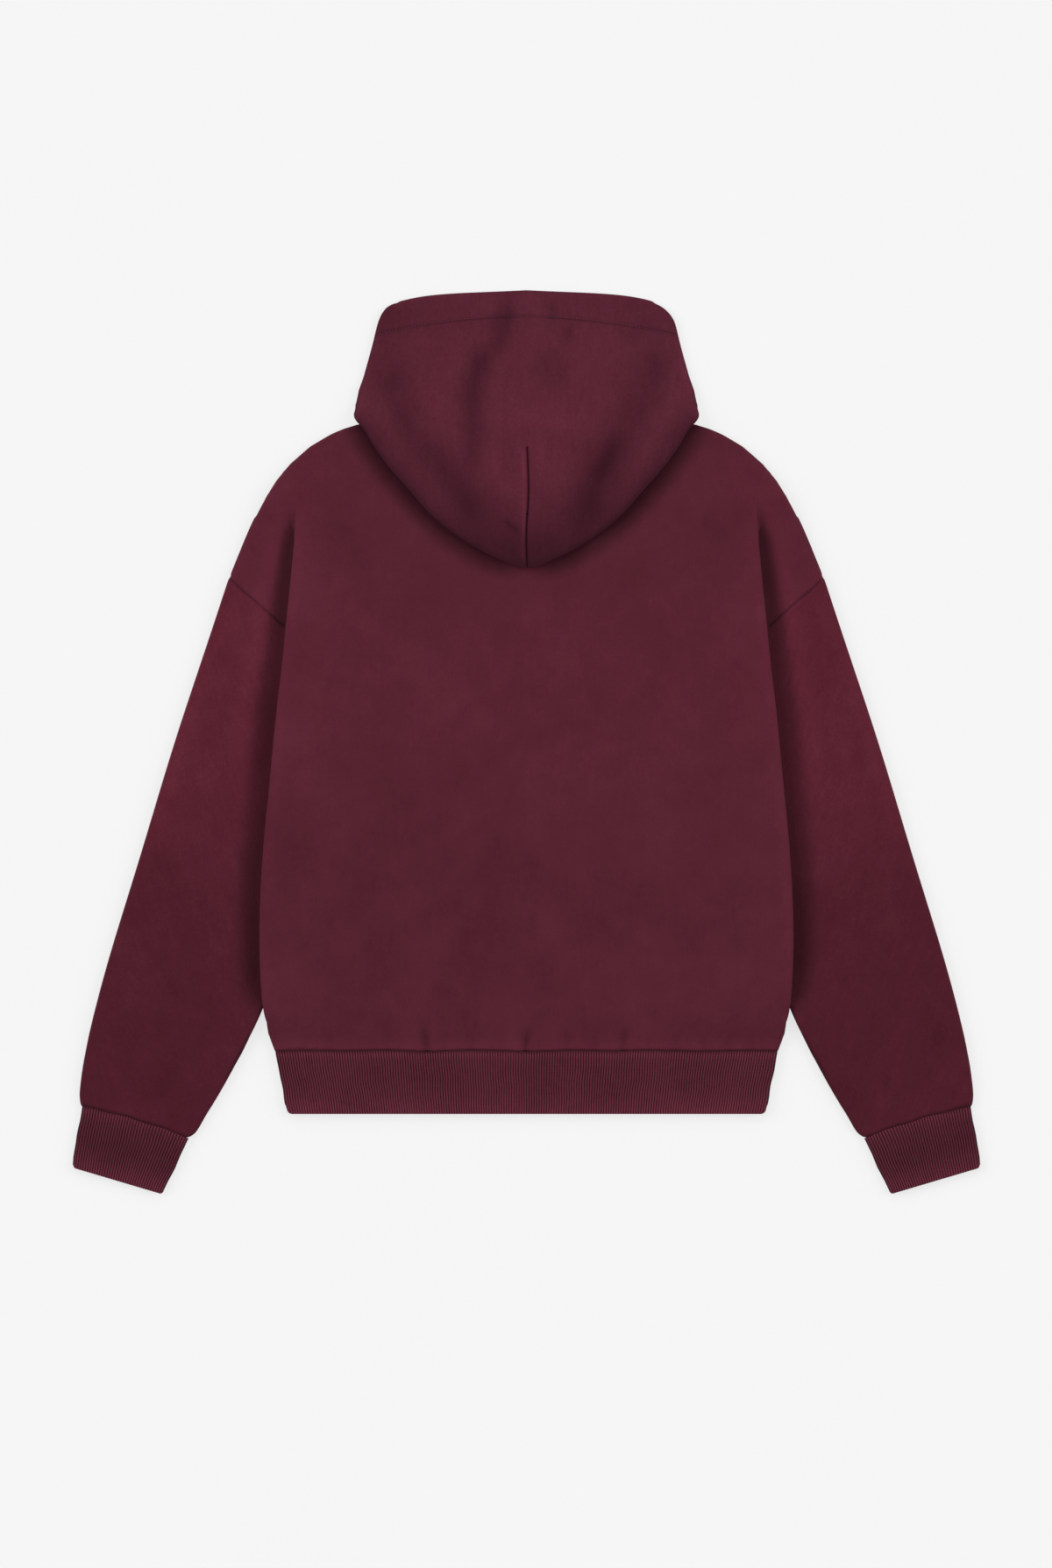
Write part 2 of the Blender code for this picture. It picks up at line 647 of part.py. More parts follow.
# Half of the line along which the hood folds from its upper to its lower layer, from the drooping tip to the
# top corner. Each point has the place on the neck seam that its cloth comes from, and one it passes on its way.
# Where neck_y is None the place lies on a panel's neckline: the back's where the cloth is turned, or else the
# front's. turned is 1 where the cloth stands up from the neck seam and falls over the back, 0 where it is flat.
HoodSection = namedtuple("HoodSection", "fold_x fold_y neck_x neck_y neck_z way_x way_y way_z turned")
HOOD_SECTIONS = (
    HoodSection(0.0, 178.8, 0.0, None, None, 0.0, 298.0, None, 1.0),
    HoodSection(39.0, 193.0, 24.0, None, None, 25.5, 300.0, None, 1.0),
    HoodSection(69.0, 210.0, 46.0, None, None, 48.5, 303.0, None, 1.0),
    HoodSection(98.5, 233.5, 64.0, None, None, 68.5, 307.0, None, 1.0),
    HoodSection(119.0, 257.5, 77.0, None, None, 83.0, 312.5, None, 1.0),
    HoodSection(140.5, 282.0, 87.0, None, None, 94.0, 319.0, None, 1.0),
    HoodSection(157.5, 305.0, 94.5, None, None, 102.0, 328.0, None, 1.0),
    HoodSection(170.0, 327.5, 107.0, 337.5, 4.6, 114.0, 337.5, 6.0, 0.0),
    HoodSection(172.8, 336.5, 99.4, 338.9, 1.9, 102.4, 346.9, 1.8, 0.0),
    HoodSection(174.5, 345.0, 91.0, None, None, 98.5, 347.5, 1.2, 0.0),
    HoodSection(171.5, 360.0, 83.0, None, None, 89.5, 346.4, 1.0, 0.0),
    HoodSection(166.5, 374.0, 73.0, None, None, 78.0, 342.6, 1.0, 0.0),
    HoodSection(159.0, 401.0, 54.0, None, None, 64.0, 333.0, 1.0, 0.0),
    HoodSection(150.5, 428.0, 29.0, None, None, 50.0, 321.0, 1.0, 0.0),
    HoodSection(143.5, 446.0, 7.5, None, None, 35.0, 306.0, 1.0, 0.0),
)
HOOD_BEND = 5  # the section where the foot of the upper layer meets its side
HOOD_COLUMNS = (0.0, 0.12, 0.235, 0.33, 0.425, 0.53, 0.64, 0.73, 0.82, 0.93, 1.0)
HOOD_ROWS = (0.0, 0.108, 0.267, 0.424, 0.508, 0.594, 0.642, 0.695, 0.84, 0.95, 1.0)
HOOD_TOP_Y = 462.0
HOOD_ABOVE = 1.1  # clear height between the back panel and the hood on it
HOOD_FOLD_RISE = 2.6
HOOD_FLAT_GAP = 0.45  # from a neckline to the middle of the hood's sewn edge, where that lies flat
HOOD_TURNED_GAP = 0.8  # the same where it turns up
NECK_EASING = 36.0  # length over which a neckline comes down to the shoulder seam
HOOD_APART = 0.5  # how far the hood's sewn edges keep above the back's and below the front's at the shoulder
# How much further from a neckline the hood's sewn edge keeps: x where that starts, x where it is full, length
NECK_LEANS = ((35.0, 72.0, 1.1), (82.0, 98.0, 1.4))
# y, height of the middle of the hood's upper layer
HOOD_CREST = ((463, 1.3), (448, 2.6), (425, 7.0), (398, 12.5), (368, 17.5), (335, 21.0), (300, 22.8),
              (265, 22.8), (235, 21.6), (210, 19.6), (178, 17.0))
Valley = namedtuple("Valley", "start middle end width depth")
HOOD_VALLEYS = (
    Valley((-23, 434), (-54, 368), (-56, 300), 11.0, 2.6),
    Valley((152, 398), (97, 320), (47, 215), 13.0, 3.4),
    Valley((-129, 347), (-86, 290), (-39, 222), 14.0, 2.4),
    Valley((0, 303), (1, 240), (0, 182), 7.0, 1.2),
)

hood_crest = smooth_table(HOOD_CREST)
shoulder_y = smooth_table(BACK_NECK)


def neck_edge(table, centre_x):
    """The straight pieces that a panel's neckline is made of."""
    curve = smooth_table(table)
    columns = [mix(centre_x, NECK_SHOULDER_X, share) for share in TOP_SHARES_BELOW_NECK]
    return line_table([(x, curve(x)) for x in columns])


def hood_seam(section):
    """The middle of the hood's sewn edge, just clear of the panels' necklines."""
    if section.neck_y is not None:
        return np.array((section.neck_x, section.neck_y, section.neck_z))
    x = section.neck_x
    on_back = section.turned > 0.0
    if on_back:
        table, centre_x, layer, up, gap = BACK_NECK, 0.0, back_height, 1.0, HOOD_TURNED_GAP
    else:
        table, centre_x, layer, up, gap = FRONT_NECK, FRONT_EDGE_X, front_height, -1.0, HOOD_FLAT_GAP
    sewn = ease((x - NECK_SHOULDER_X + NECK_EASING) / NECK_EASING)
    gap += sum(reach * ease((x - start) / (end - start)) for start, end, reach in NECK_LEANS)
    edge = neck_edge(table, centre_x)
    left, right = max(x - 2.0, centre_x), min(x + 2.0, NECK_SHOULDER_X)
    slope = (edge(right) - edge(left)) / (right - left)
    gap /= math.hypot(1.0, slope)
    shoulder = outline_middle(*SHOULDER_CORNER) + up * (EDGE_STEP + HOOD_APART)
    return np.array((x - gap * slope, edge(x) + gap, mix(layer(x, edge(x)), shoulder, sewn)))


def valley_depth(x, y):
    """Depth of the soft valleys in the hood's upper layer."""
    depth = 0.0
    for valley in HOOD_VALLEYS:
        line = [np.array(point, float) for point in (valley.start, valley.middle, valley.end)]
        nearest = math.inf
        for a, b in zip(line, line[1:]):
            along = b - a
            share = min(max(float(np.dot((x, y) - a, along) / np.dot(along, along)), 0.0), 1.0)
            nearest = min(nearest, float(np.hypot(*((x, y) - a - along * share))))
        depth += valley.depth * math.exp(-((nearest / valley.width) ** 2))
    return depth


def hood_floor(x, y):
    """Middle of the hood's lower layer: over the back and the shoulders, and on the floor beyond them."""
    edge = shoulder_y(min(abs(x), SHOULDER_CORNER[0]))
    over = back_height(x, min(y, edge)) + CLOTH + HOOD_ABOVE
    return mix(over, FLOOR_LAYER, ease((y - edge - 3.0) / 20.0))


def hood_fold():
    """The fields of the hood's sections as functions of the share of the fold line, and the bend's share."""
    steps = [0.0]
    for a, b in zip(HOOD_SECTIONS, HOOD_SECTIONS[1:]):
        steps.append(steps[-1] + math.hypot(b.fold_x - a.fold_x, b.fold_y - a.fold_y))
    shares = [step / steps[-1] for step in steps]
    seams = [hood_seam(section) for section in HOOD_SECTIONS]
    ways = [(section.way_x, section.way_y, hood_floor(section.way_x, section.way_y) if section.way_z is None
             else section.way_z) for section in HOOD_SECTIONS]
    columns = {"turned": [section.turned for section in HOOD_SECTIONS]}
    columns.update({f"seam_{axis}": [seam[k] for seam in seams] for k, axis in enumerate("xyz")})
    columns.update({f"way_{axis}": [way[k] for way in ways] for k, axis in enumerate("xyz")})
    readers = {name: line_table(list(zip(shares, values))) for name, values in columns.items()}
    for name in ("fold_x", "fold_y"):
        readers[name] = smooth_table(list(zip(shares, [getattr(section, name) for section in HOOD_SECTIONS])))
    return readers, shares[HOOD_BEND]


def hood_strip(share, side, readers):
    """The points under the hood from its neck seam out to the fold line."""
    at = {name: read(share) for name, read in readers.items()}
    turned = at["turned"]
    seam = np.array((at["seam_x"], at["seam_y"], at["seam_z"]))
    way = np.array((at["way_x"], at["way_y"], at["way_z"]))
    fold = np.array((at["fold_x"], at["fold_y"]))

    flat = [mix(seam, way, step) for step in (0.0, 0.25, 0.5, 0.75)]
    lift = (way[2] - seam[2]) / 2.0
    reach = 0.4 + 0.87 * lift
    rounded = [seam + np.array((0.0, forward, up * lift))
               for forward, up in ((0.0, 0.0), (reach, 0.5), (reach, 1.5), (0.4, 2.0))]
    points = [mix(a, b, turned) for a, b in zip(flat, rounded)]

    inward = (way[:2] - fold) / float(np.hypot(*(way[:2] - fold)))
    near = fold + inward * 9.0
    near_z = hood_floor(*near)
    for step in (0.0, 0.33, 0.67, 1.0):
        x, y = mix(way[:2], near, step)
        straight = mix(way[2], near_z, step)
        points.append((x, y, mix(straight, max(straight, hood_floor(x, y)), turned)))
    fold_z = hood_floor(*fold) + HOOD_FOLD_RISE
    points.append((*(fold + inward * 2.4), mix(near_z, fold_z, 0.3)))
    points.append((*fold, fold_z))
    return mirrored(points, side)


def hood_upper(readers, bend):
    """Rows of points across the hood's upper layer, from the edge of the face opening down to the fold."""
    columns = [-column for column in HOOD_COLUMNS[:0:-1]] + list(HOOD_COLUMNS)

    def fold_point(side, share):
        x, y = readers["fold_x"](share), readers["fold_y"](share)
        return np.array((side * x, y, hood_floor(x, y) + HOOD_FOLD_RISE))

    corner = fold_point(1, 1.0)

    def top(across):
        drop = (HOOD_TOP_Y - corner[1]) * across**4
        z = mix(hood_crest(HOOD_TOP_Y), corner[2], across**4)
        return np.array((across * corner[0], HOOD_TOP_Y - drop, z))

    rows = []
    for down in HOOD_ROWS:
        row = []
        for across in columns:
            share = mix(1.0, bend, down)
            left, right = fold_point(-1, share), fold_point(1, share)
            foot = fold_point(math.copysign(1.0, across), abs(across) * bend)
            from_left = (across + 1.0) / 2.0
            corners = mix(mix(top(-1.0), top(1.0), from_left),
                          mix(fold_point(-1, bend), fold_point(1, bend), from_left), down)
            x, y, z = mix(top(across), foot, down) + mix(left, right, from_left) - corners
            rise = (1.0 - abs(across) ** 9) * (1.0 - down**12)
            crest = hood_crest(y) - valley_depth(x, y)
            row.append((x, y, mix(z, max(crest, z), rise)))
        rows.append(row)
    return rows, columns


def hood(collection):
    """One sheet: the upper layer, and round its sides and foot the strip that turns under to the neck."""
    readers, bend = hood_fold()
    rows, columns = hood_upper(readers, bend)
    strips = [hood_strip(mix(1.0, bend, down), -1, readers) for down in HOOD_ROWS]
    strips += [hood_strip(abs(across) * bend, math.copysign(1, across), readers) for across in columns[1:-1]]
    strips += [hood_strip(mix(1.0, bend, down), 1, readers) for down in reversed(HOOD_ROWS)]
    bm = bmesh.new()
    grid(bm, rows)
    grid(bm, [strip[::-1] for strip in strips])
    settle(bm)
    bmesh.ops.recalc_face_normals(bm, faces=bm.faces)
    return give_thickness(place(bm, "hood", material("fleece_hood", WINE_HOOD, 0.95), collection), CLOTH)


# ---------------------------------------------------------------- zip

def tape_height(y):
    """Middle of the zip tape, on the inner side of the fronts and of the hem."""
    on_hem = ease((ON_HEM_FROM - y) / ON_HEM_REACH)
    return mix(front_height(TAPE_OUTER_X / 2, y) + CLOTH / 2, RIB_WALL, on_hem) + SEAM_GAP + TAPE / 2


def zip_tape(name, side, collection, look):
    middle = ON_HEM_FROM - ON_HEM_REACH / 2
    ys = [TAPE_TOP_Y] + [section.y for section in SECTIONS if ON_HEM_FROM < section.y < TAPE_TOP_Y]
    ys += [ON_HEM_FROM, middle, ON_HEM_FROM - ON_HEM_REACH, TAPE_END_Y]
    bm = bmesh.new()
    grid(bm, [[(side * x, y, tape_height(y)) for x in (TAPE_INNER_X, TAPE_OUTER_X)] for y in ys])
    settle(bm, -side)
    return give_thickness(place(bm, name, look, collection), TAPE)


def add_box(bm, centre, size):
    made = bmesh.ops.create_cube(bm, size=1.0)["verts"]
    bmesh.ops.scale(bm, vec=size, verts=made)
    bmesh.ops.translate(bm, vec=centre, verts=made)


def rounded_box(name, centre, size, rounding, look, collection):
    bm = bmesh.new()
    add_box(bm, centre, size)
    bmesh.ops.bevel(bm, geom=bm.edges, offset=rounding, segments=2, profile=0.5, affect="EDGES")
    return place(bm, name, look, collection, smooth=False)


def combine(obj, name, boxes, operation, helpers):
    """Joins the boxes, each a (centre, size), to the object or cuts them from it."""
    bm = bmesh.new()
    for centre, size in boxes:
        add_box(bm, centre, size)
    tool = place(bm, name, obj.data.materials[0], helpers, smooth=False)
    tool.hide_render = True
    tool.display_type = "WIRE"
    step = obj.modifiers.new(name, "BOOLEAN")
    step.operation = operation
    step.solver = "EXACT"
    step.object = tool
    return tool


def zip_slider(collection, helpers, look):
    """The body that the tapes run through, and the bail below it that holds the pull tab."""
    wide, long, high = SLIDER
    z = tape_height(SLIDER_Y)
    slider = rounded_box("zip_slider", (0.0, SLIDER_Y, z), SLIDER, 0.8, look, collection)
    far = long + 2.0
    post_start = SLIDER_Y + long / 2 - POST[1]
    side = (wide + 2.0 - POST[0]) / 2
    teeth_side = (CHANNEL[0] - POST[0]) / 2
    before = post_start - (SLIDER_Y - far / 2)
    bottom = z - high / 2
    foot = PIVOT[1] - BAIL_DROP
    bail = ((0.0, PIVOT[0], (foot + bottom + BAIL_SUNK) / 2), (BAIL[0], BAIL[1], bottom + BAIL_SUNK - foot))
    window_foot = foot + BAIL_WIRE
    window_size = (BAIL[0] + 2.0, BAIL[1] - 2 * BAIL_WIRE, bottom - window_foot)
    window = ((0.0, PIVOT[0], (window_foot + bottom) / 2), window_size)
    slots = [((way * (POST[0] + side) / 2, SLIDER_Y, z), (side, far, SLOT)) for way in (-1, 1)]
    teeth_size = (teeth_side, far, CHANNEL[1])
    beside = [((way * (POST[0] + teeth_side) / 2, SLIDER_Y, z), teeth_size) for way in (-1, 1)]
    channel = ((0.0, post_start - before / 2, z), (CHANNEL[0], before, CHANNEL[1]))
    combine(slider, "bail", [bail], "UNION", helpers)
    combine(slider, "bail_window", [window], "DIFFERENCE", helpers)
    combine(slider, "tape_slots", slots, "DIFFERENCE", helpers)
    combine(slider, "teeth_beside_post", beside, "DIFFERENCE", helpers)
    combine(slider, "teeth_channel", [channel], "DIFFERENCE", helpers)
    return slider


def pull_tab(collection, helpers, look):
    """Hangs from the bail by its crossbar. Its origin is on the hinge's axis."""
    wide, long, thick = TAB
    centre_y = CROSSBAR / 2 - long / 2
    tab = rounded_box("pull_tab", (0.0, centre_y, 0.0), TAB, 0.3, look, collection)
    opening = (TAB_WINDOW[0], TAB_WINDOW[1], 2.0 * thick)
    window = ((0.0, -(CROSSBAR + TAB_WINDOW[1]) / 2, 0.0), opening)
    tool = combine(tab, "tab_window", [window], "DIFFERENCE", helpers)
    for piece in (tab, tool):
        piece.location = (0.0, PIVOT[0] * MM, PIVOT[1] * MM)
    return tab


def main():
    for obj in list(bpy.data.objects):
        bpy.data.objects.remove(obj, do_unlink=True)
    hoodie = bpy.data.collections.new("zip_hoodie")
    bpy.context.scene.collection.children.link(hoodie)
    helpers = bpy.data.collections.new("helpers")
    helpers.hide_render = True
    bpy.context.scene.collection.children.link(helpers)
    fleece_front = material("fleece_front", WINE, 0.95)
    fleece_sleeve = material("fleece_sleeve", WINE, 0.95)
    rib_cuff = material("rib_cuff", WINE_RIB, 0.95)

    back_panel(hoodie)
    for name, side in (("left", -1), ("right", 1)):
        front_panel(f"front_{name}", side, hoodie, fleece_front)
        sleeve(f"sleeve_{name}", side, hoodie, fleece_sleeve)
        cuff(f"cuff_{name}", side, hoodie, rib_cuff)
    hem_rib(hoodie)
    hood(hoodie)
    metal = material("zip_metal", METAL, 0.35, 1.0)
    tape_cloth = material("zip_tape", WINE_TAPE, 0.8)
    for name, side in (("left", -1), ("right", 1)):
        zip_tape(f"zip_tape_{name}", side, hoodie, tape_cloth)
    zip_slider(hoodie, helpers, metal)
    pull_tab(hoodie, helpers, metal)
    rounded_box("zip_box", ZIP_BOX_CENTRE, ZIP_BOX, 0.4, metal, hoodie)


main()
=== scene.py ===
"""A wine red zip up hoodie, laid face down on a pale floor and seen from straight above.

+X is the wearer's right, +Y points from the hem to the hood and the floor is at Z = 0. Sizes are in millimetres
where a name or a table doesn't say otherwise, and become metres where a mesh is made. Each cloth piece takes the
form of its solid, which is made smooth and fine, and then gets its creases.
"""

import math
from collections import namedtuple
from functools import reduce

import bmesh
import bpy
import numpy as np
from mathutils import Matrix, Vector
from mathutils.bvhtree import BVHTree


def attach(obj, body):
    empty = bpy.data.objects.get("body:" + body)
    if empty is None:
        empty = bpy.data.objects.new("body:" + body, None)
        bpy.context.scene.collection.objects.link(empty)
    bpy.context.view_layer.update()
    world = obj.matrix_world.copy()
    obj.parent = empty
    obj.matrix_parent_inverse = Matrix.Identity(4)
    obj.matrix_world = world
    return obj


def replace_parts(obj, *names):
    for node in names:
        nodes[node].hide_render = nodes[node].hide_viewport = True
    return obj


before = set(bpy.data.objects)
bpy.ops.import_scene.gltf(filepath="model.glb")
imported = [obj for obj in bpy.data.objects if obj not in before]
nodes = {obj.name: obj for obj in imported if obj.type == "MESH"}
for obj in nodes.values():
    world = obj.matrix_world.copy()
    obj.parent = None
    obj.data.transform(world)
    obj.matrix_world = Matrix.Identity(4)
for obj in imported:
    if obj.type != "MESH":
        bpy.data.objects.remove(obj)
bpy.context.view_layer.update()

MM = 0.001
CLOTH = 2.0  # thickness of the fleece
GARMENT = "garment"
LEFT_RIGHT = (-1, 1)

# -------- creases

# A soft trough in the upper cloth with a low ridge along each side and painted shade in it, or a ridge with a painted
# highlight where depth is below 0. ends is the share of its length over which it fades out at each end.
Crease = namedtuple("Crease", "start middle end width depth ends")


def creases_of(*rows):
    return tuple(Crease(*row) for row in rows)


HOOD_CREASES = creases_of(
    ((-21, 456), (-23, 422), (-35, 390), 9.0, 2.8, 0.3),
    ((-28, 410), (-52, 372), (-52, 312), 12.0, 5.0, 0.33),
    ((-53, 350), (-54, 306), (-64, 256), 12.0, 3.4, 0.4),
    ((-152, 400), (-129, 332), (-90, 272), 17.0, 5.2, 0.36),
    ((-116, 312), (-76, 262), (-30, 208), 17.0, 6.4, 0.36),
    ((142, 404), (126, 350), (88, 284), 20.0, 5.6, 0.32),
    ((108, 322), (78, 266), (36, 202), 20.0, 7.2, 0.33),
    ((106, 334), (82, 288), (55, 238), 9.0, 1.6, 0.45),
    ((-26, 230), (-16, 221), (-5, 213), 3.4, 0.75, 0.3),
    ((26, 458), (27, 440), (26, 424), 4.5, 1.0, 0.45),
    ((41, 430), (43, 418), (42, 404), 5.0, 0.9, 0.45),
    ((-34, 438), (-33, 428), (-34, 416), 4.5, 0.6, 0.45),
    ((-38, 318), (12, 328), (74, 316), 17.0, -2.4, 0.4),
    ((-36, 312), (-30, 274), (-14, 236), 9.0, -1.4, 0.4),
    ((6, 318), (14, 286), (14, 250), 13.0, -1.5, 0.4),
    ((-98, 372), (-92, 346), (-84, 322), 11.0, -0.8, 0.4),
    ((-152, 392), (-160, 366), (-161, 340), 7.0, 0.7, 0.4),
)
# Painted shade, and painted highlight where depth is below 0, laid like the creases above but with no change in height
HOOD_PAINTED_SHADES = creases_of(
    ((18, 410), (24, 384), (18, 352), 17.0, 3.0, 0.4),
    ((92, 430), (124, 408), (152, 376), 23.0, 3.8, 0.32),
    ((-150, 458), (-142, 408), (-128, 352), 25.0, 4.0, 0.2),
    ((152, 422), (165, 384), (166, 348), 6.5, -1.1, 0.4),
)
# Painted highlight along each sleeve's outer edge and painted shade just inside its inner edge, laid like creases with
# no change in height
SLEEVE_PAINTED_SHADES = creases_of(
    ((-290, 160), (-338, 50), (-388, -130), 8.0, -1.6, 0.2),
    ((290, 160), (338, 50), (388, -130), 8.0, -1.0, 0.2),
    ((-279, -296), (-295, -327), (-311, -356), 3.4, 1.9, 0.3),
    ((279, -296), (295, -327), (311, -356), 3.4, 1.9, 0.3),
)
SEAM_HEAD_Y = 303.7
HOOD_SEAM = creases_of(
    ((0.6, SEAM_HEAD_Y), (2.2, 262), (0.6, 232), 1.15, 1.9, 0.03),
    ((0.9, 235), (-0.4, 205), (1.2, 176), 1.15, 1.9, 0.03),
)
SEAM_ALLOWANCE = Crease((-3.4, SEAM_HEAD_Y - 2), (-2.4, 245), (-3.2, 182), 2.6, -0.7, 0.08)
CASING_STITCH = Crease((-155, 416.5), (-4, 436.5), (155, 416.5), 1.5, 0.42, 0.02)
ARMHOLE_SEAMS = creases_of(*(
    ((way * 304, 166), (way * 276, 141.4), (way * 248.6, 117.4), 1.6, 0.75, 0.02) for way in LEFT_RIGHT))
CUFF_SEAMS = creases_of(*(
    ((way * 456, -375.1), (way * 403.7, -390.7), (way * 351, -406.4), 2.0, 0.7, 0.01) for way in LEFT_RIGHT))
HEM_SEAM_Y = -318.2
HEM_SEAM = Crease((-258, HEM_SEAM_Y), (0, HEM_SEAM_Y), (258, HEM_SEAM_Y), 1.3, 0.6, 0.004)
BODY_CREASES = creases_of(
    ((-166, 268), (-196, 226), (-204, 172), 22.0, 0.7, 0.4),
    ((160, 274), (192, 222), (206, 160), 24.0, 0.8, 0.4),
    ((-60, 150), (-74, 84), (-70, 10), 38.0, 0.6, 0.45),
    ((44, 132), (60, 60), (52, -30), 44.0, 0.5, 0.45),
    ((-158, 90), (-172, 0), (-166, -96), 34.0, 0.7, 0.45),
    ((150, 60), (168, -40), (160, -130), 36.0, 0.6, 0.45),
    ((-104, -60), (-92, -150), (-98, -250), 30.0, 0.6, 0.45),
    ((6, -90), (-6, -170), (4, -262), 34.0, 0.5, 0.45),
    ((92, -110), (108, -190), (100, -270), 26.0, 0.6, 0.45),
    ((-206, -120), (-214, -190), (-206, -262), 18.0, 0.5, 0.45),
    ((204, -140), (212, -206), (206, -276), 18.0, 0.5, 0.45),
)
# x of a pucker's foot on the hem seam, how far it leans, length, depth
Pucker = namedtuple("Pucker", "x lean length depth")
HEM_PUCKERS = (
    Pucker(-228, 3, 14, 0.36), Pucker(-201, -2, 19, 0.48), Pucker(-171, 3, 13, 0.3), Pucker(-143, -2, 22, 0.54),
    Pucker(-100, -8, 27, 1.7), Pucker(-86, 2, 14, 0.36), Pucker(-57, 3, 19, 0.48), Pucker(-33, -2, 13, 0.36),
    Pucker(-2, 4, 24, 1.5), Pucker(14, -2, 13, 0.42), Pucker(41, 2, 21, 0.54), Pucker(70, -3, 14, 0.36),
    Pucker(99, 4, 25, 1.1), Pucker(126, -2, 14, 0.36), Pucker(151, 3, 20, 0.54), Pucker(183, -2, 15, 0.36),
    Pucker(207, 3, 21, 0.42), Pucker(231, -2, 13, 0.3),
)
PUCKER_WIDTH = 4.2
PUCKER_FOOT = 12.0  # how far below the seam it starts, so that it is deep at the seam
PUCKER_BEND = (0.4, 0.35)  # shares of its lean and of its length at its middle
PUCKER_TOP = 1.3  # how far up it fades out, in its lengths
PUCKER_ENDS = 0.5
# Each sleeve has its own creases
SLEEVE_CREASES_LEFT = creases_of(
    ((-322, 150), (-330, 96), (-316, 44), 20.0, 0.8, 0.45),
    ((-352, 40), (-344, -20), (-352, -74), 22.0, 0.7, 0.45),
    ((-312, -20), (-330, -96), (-352, -170), 18.0, 0.8, 0.45),
    ((-392, -70), (-380, -150), (-396, -226), 20.0, 0.8, 0.45),
    ((-340, -190), (-362, -248), (-372, -310), 17.0, 0.8, 0.45),
    ((-420, -250), (-408, -304), (-424, -352), 15.0, 0.6, 0.45),
    ((-352, -330), (-372, -356), (-384, -386), 8.0, 0.5, 0.4),
)
SLEEVE_CREASES_RIGHT = creases_of(
    ((316, 156), (332, 104), (326, 52), 20.0, 0.8, 0.45),
    ((340, 60), (352, 6), (346, -60), 24.0, 0.7, 0.45),
    ((318, -40), (326, -110), (348, -186), 19.0, 0.7, 0.45),
    ((384, -50), (388, -130), (400, -200), 20.0, 0.9, 0.45),
    ((352, -214), (360, -262), (378, -316), 16.0, 0.8, 0.45),
    ((424, -230), (414, -296), (428, -346), 16.0, 0.6, 0.45),
    ((362, -336), (374, -360), (392, -392), 8.0, 0.5, 0.4),
)
LINE_STEPS = 16
CREASE_REACH = 4.0  # how far from its line a crease is felt, in its widths
RIDGE = 0.25  # how high the ridges beside a trough are, as a share of its depth
RIDGE_AT = 2.0  # where they lie and how wide they are, in the trough's widths
RIDGE_WIDTH = 0.9
SHADE_OF_SLOPE = 1.7  # how dark the painted shade in a trough is for its depth over its width
# the strongest painted highlight
LIGHTEST = -0.6


def ease(share):
    """0 to 1 with a soft start and end."""
    share = np.clip(share, 0.0, 1.0)
    return share * share * (3.0 - 2.0 * share)


def rise(values, start, full):
    """0 up to start, then softly to 1 at full, which may be the smaller one."""
    return ease((values - start) / (full - start))


def bell(distance, reach):
    """1 at no distance, and next to nothing beyond twice the reach."""
    return np.exp(-((distance / reach) ** 2))


def points_of(bm):
    """Where the vertices are, in mm."""
    return np.array([v.co[:] for v in bm.verts]) / MM


def right_half(points):
    """Each (x, y), with the left half folded over onto the right."""
    return np.column_stack((np.abs(points[:, 0]), points[:, 1]))


def both_halves(shifts, points):
    """Shifts found on the right half, turned over for the points on the left."""
    shifts[:, 0] *= np.sign(points[:, 0])
    return shifts


def move(bm, shifts):
    """Moves each vertex by its own row, in mm."""
    for vertex, row in zip(bm.verts, shifts * MM):
        for axis, shift in enumerate(row):
            vertex.co[axis] += shift


def crease_line(crease):
    """Points along the curve through the crease's start, middle and end."""
    start, middle, end = (np.array(point, float) for point in (crease.start, crease.middle, crease.end))
    pull = 2.0 * middle - (start + end) / 2.0
    t = np.linspace(0.0, 1.0, LINE_STEPS + 1)[:, None]
    return (1 - t) ** 2 * start + 2 * t * (1 - t) * pull + t**2 * end


def from_line(points, line):
    """How far each point is from the line, and the share of the line's length where it is nearest."""
    nearest = np.full(len(points), np.inf)
    along = np.zeros(len(points))
    for index, (start, end) in enumerate(zip(line, line[1:])):
        way = end - start
        share = np.clip(((points - start) @ way) / (way @ way), 0.0, 1.0)
        distance = np.hypot(*(points - start - share[:, None] * way).T)
        closer = distance < nearest
        nearest[closer] = distance[closer]
        along[closer] = (index + share[closer]) / (len(line) - 1)
    return nearest, along


def crease_heights(points, creases):
    """The height that the creases add at each (x, y), and their painted shade there: above 0 in a trough, below 0 a
    painted highlight on a ridge.
    """
    heights = np.zeros(len(points))
    shades = np.zeros(len(points))
    for crease in creases:
        line = crease_line(crease)
        reach = CREASE_REACH * crease.width
        near = np.all((points > line.min(0) - reach) & (points < line.max(0) + reach), axis=1)
        if not near.any():
            continue
        distance, along = from_line(points[near], line)
        across = distance / crease.width
        fade = ease(along / crease.ends) * ease((1.0 - along) / crease.ends)
        trough = bell(across, 1.0)
        heights[near] -= crease.depth * fade * (trough - RIDGE * bell(across - RIDGE_AT, RIDGE_WIDTH))
        shades[near] += np.clip(SHADE_OF_SLOPE * crease.depth / crease.width, LIGHTEST, 1.0) * fade * trough
    return heights, shades


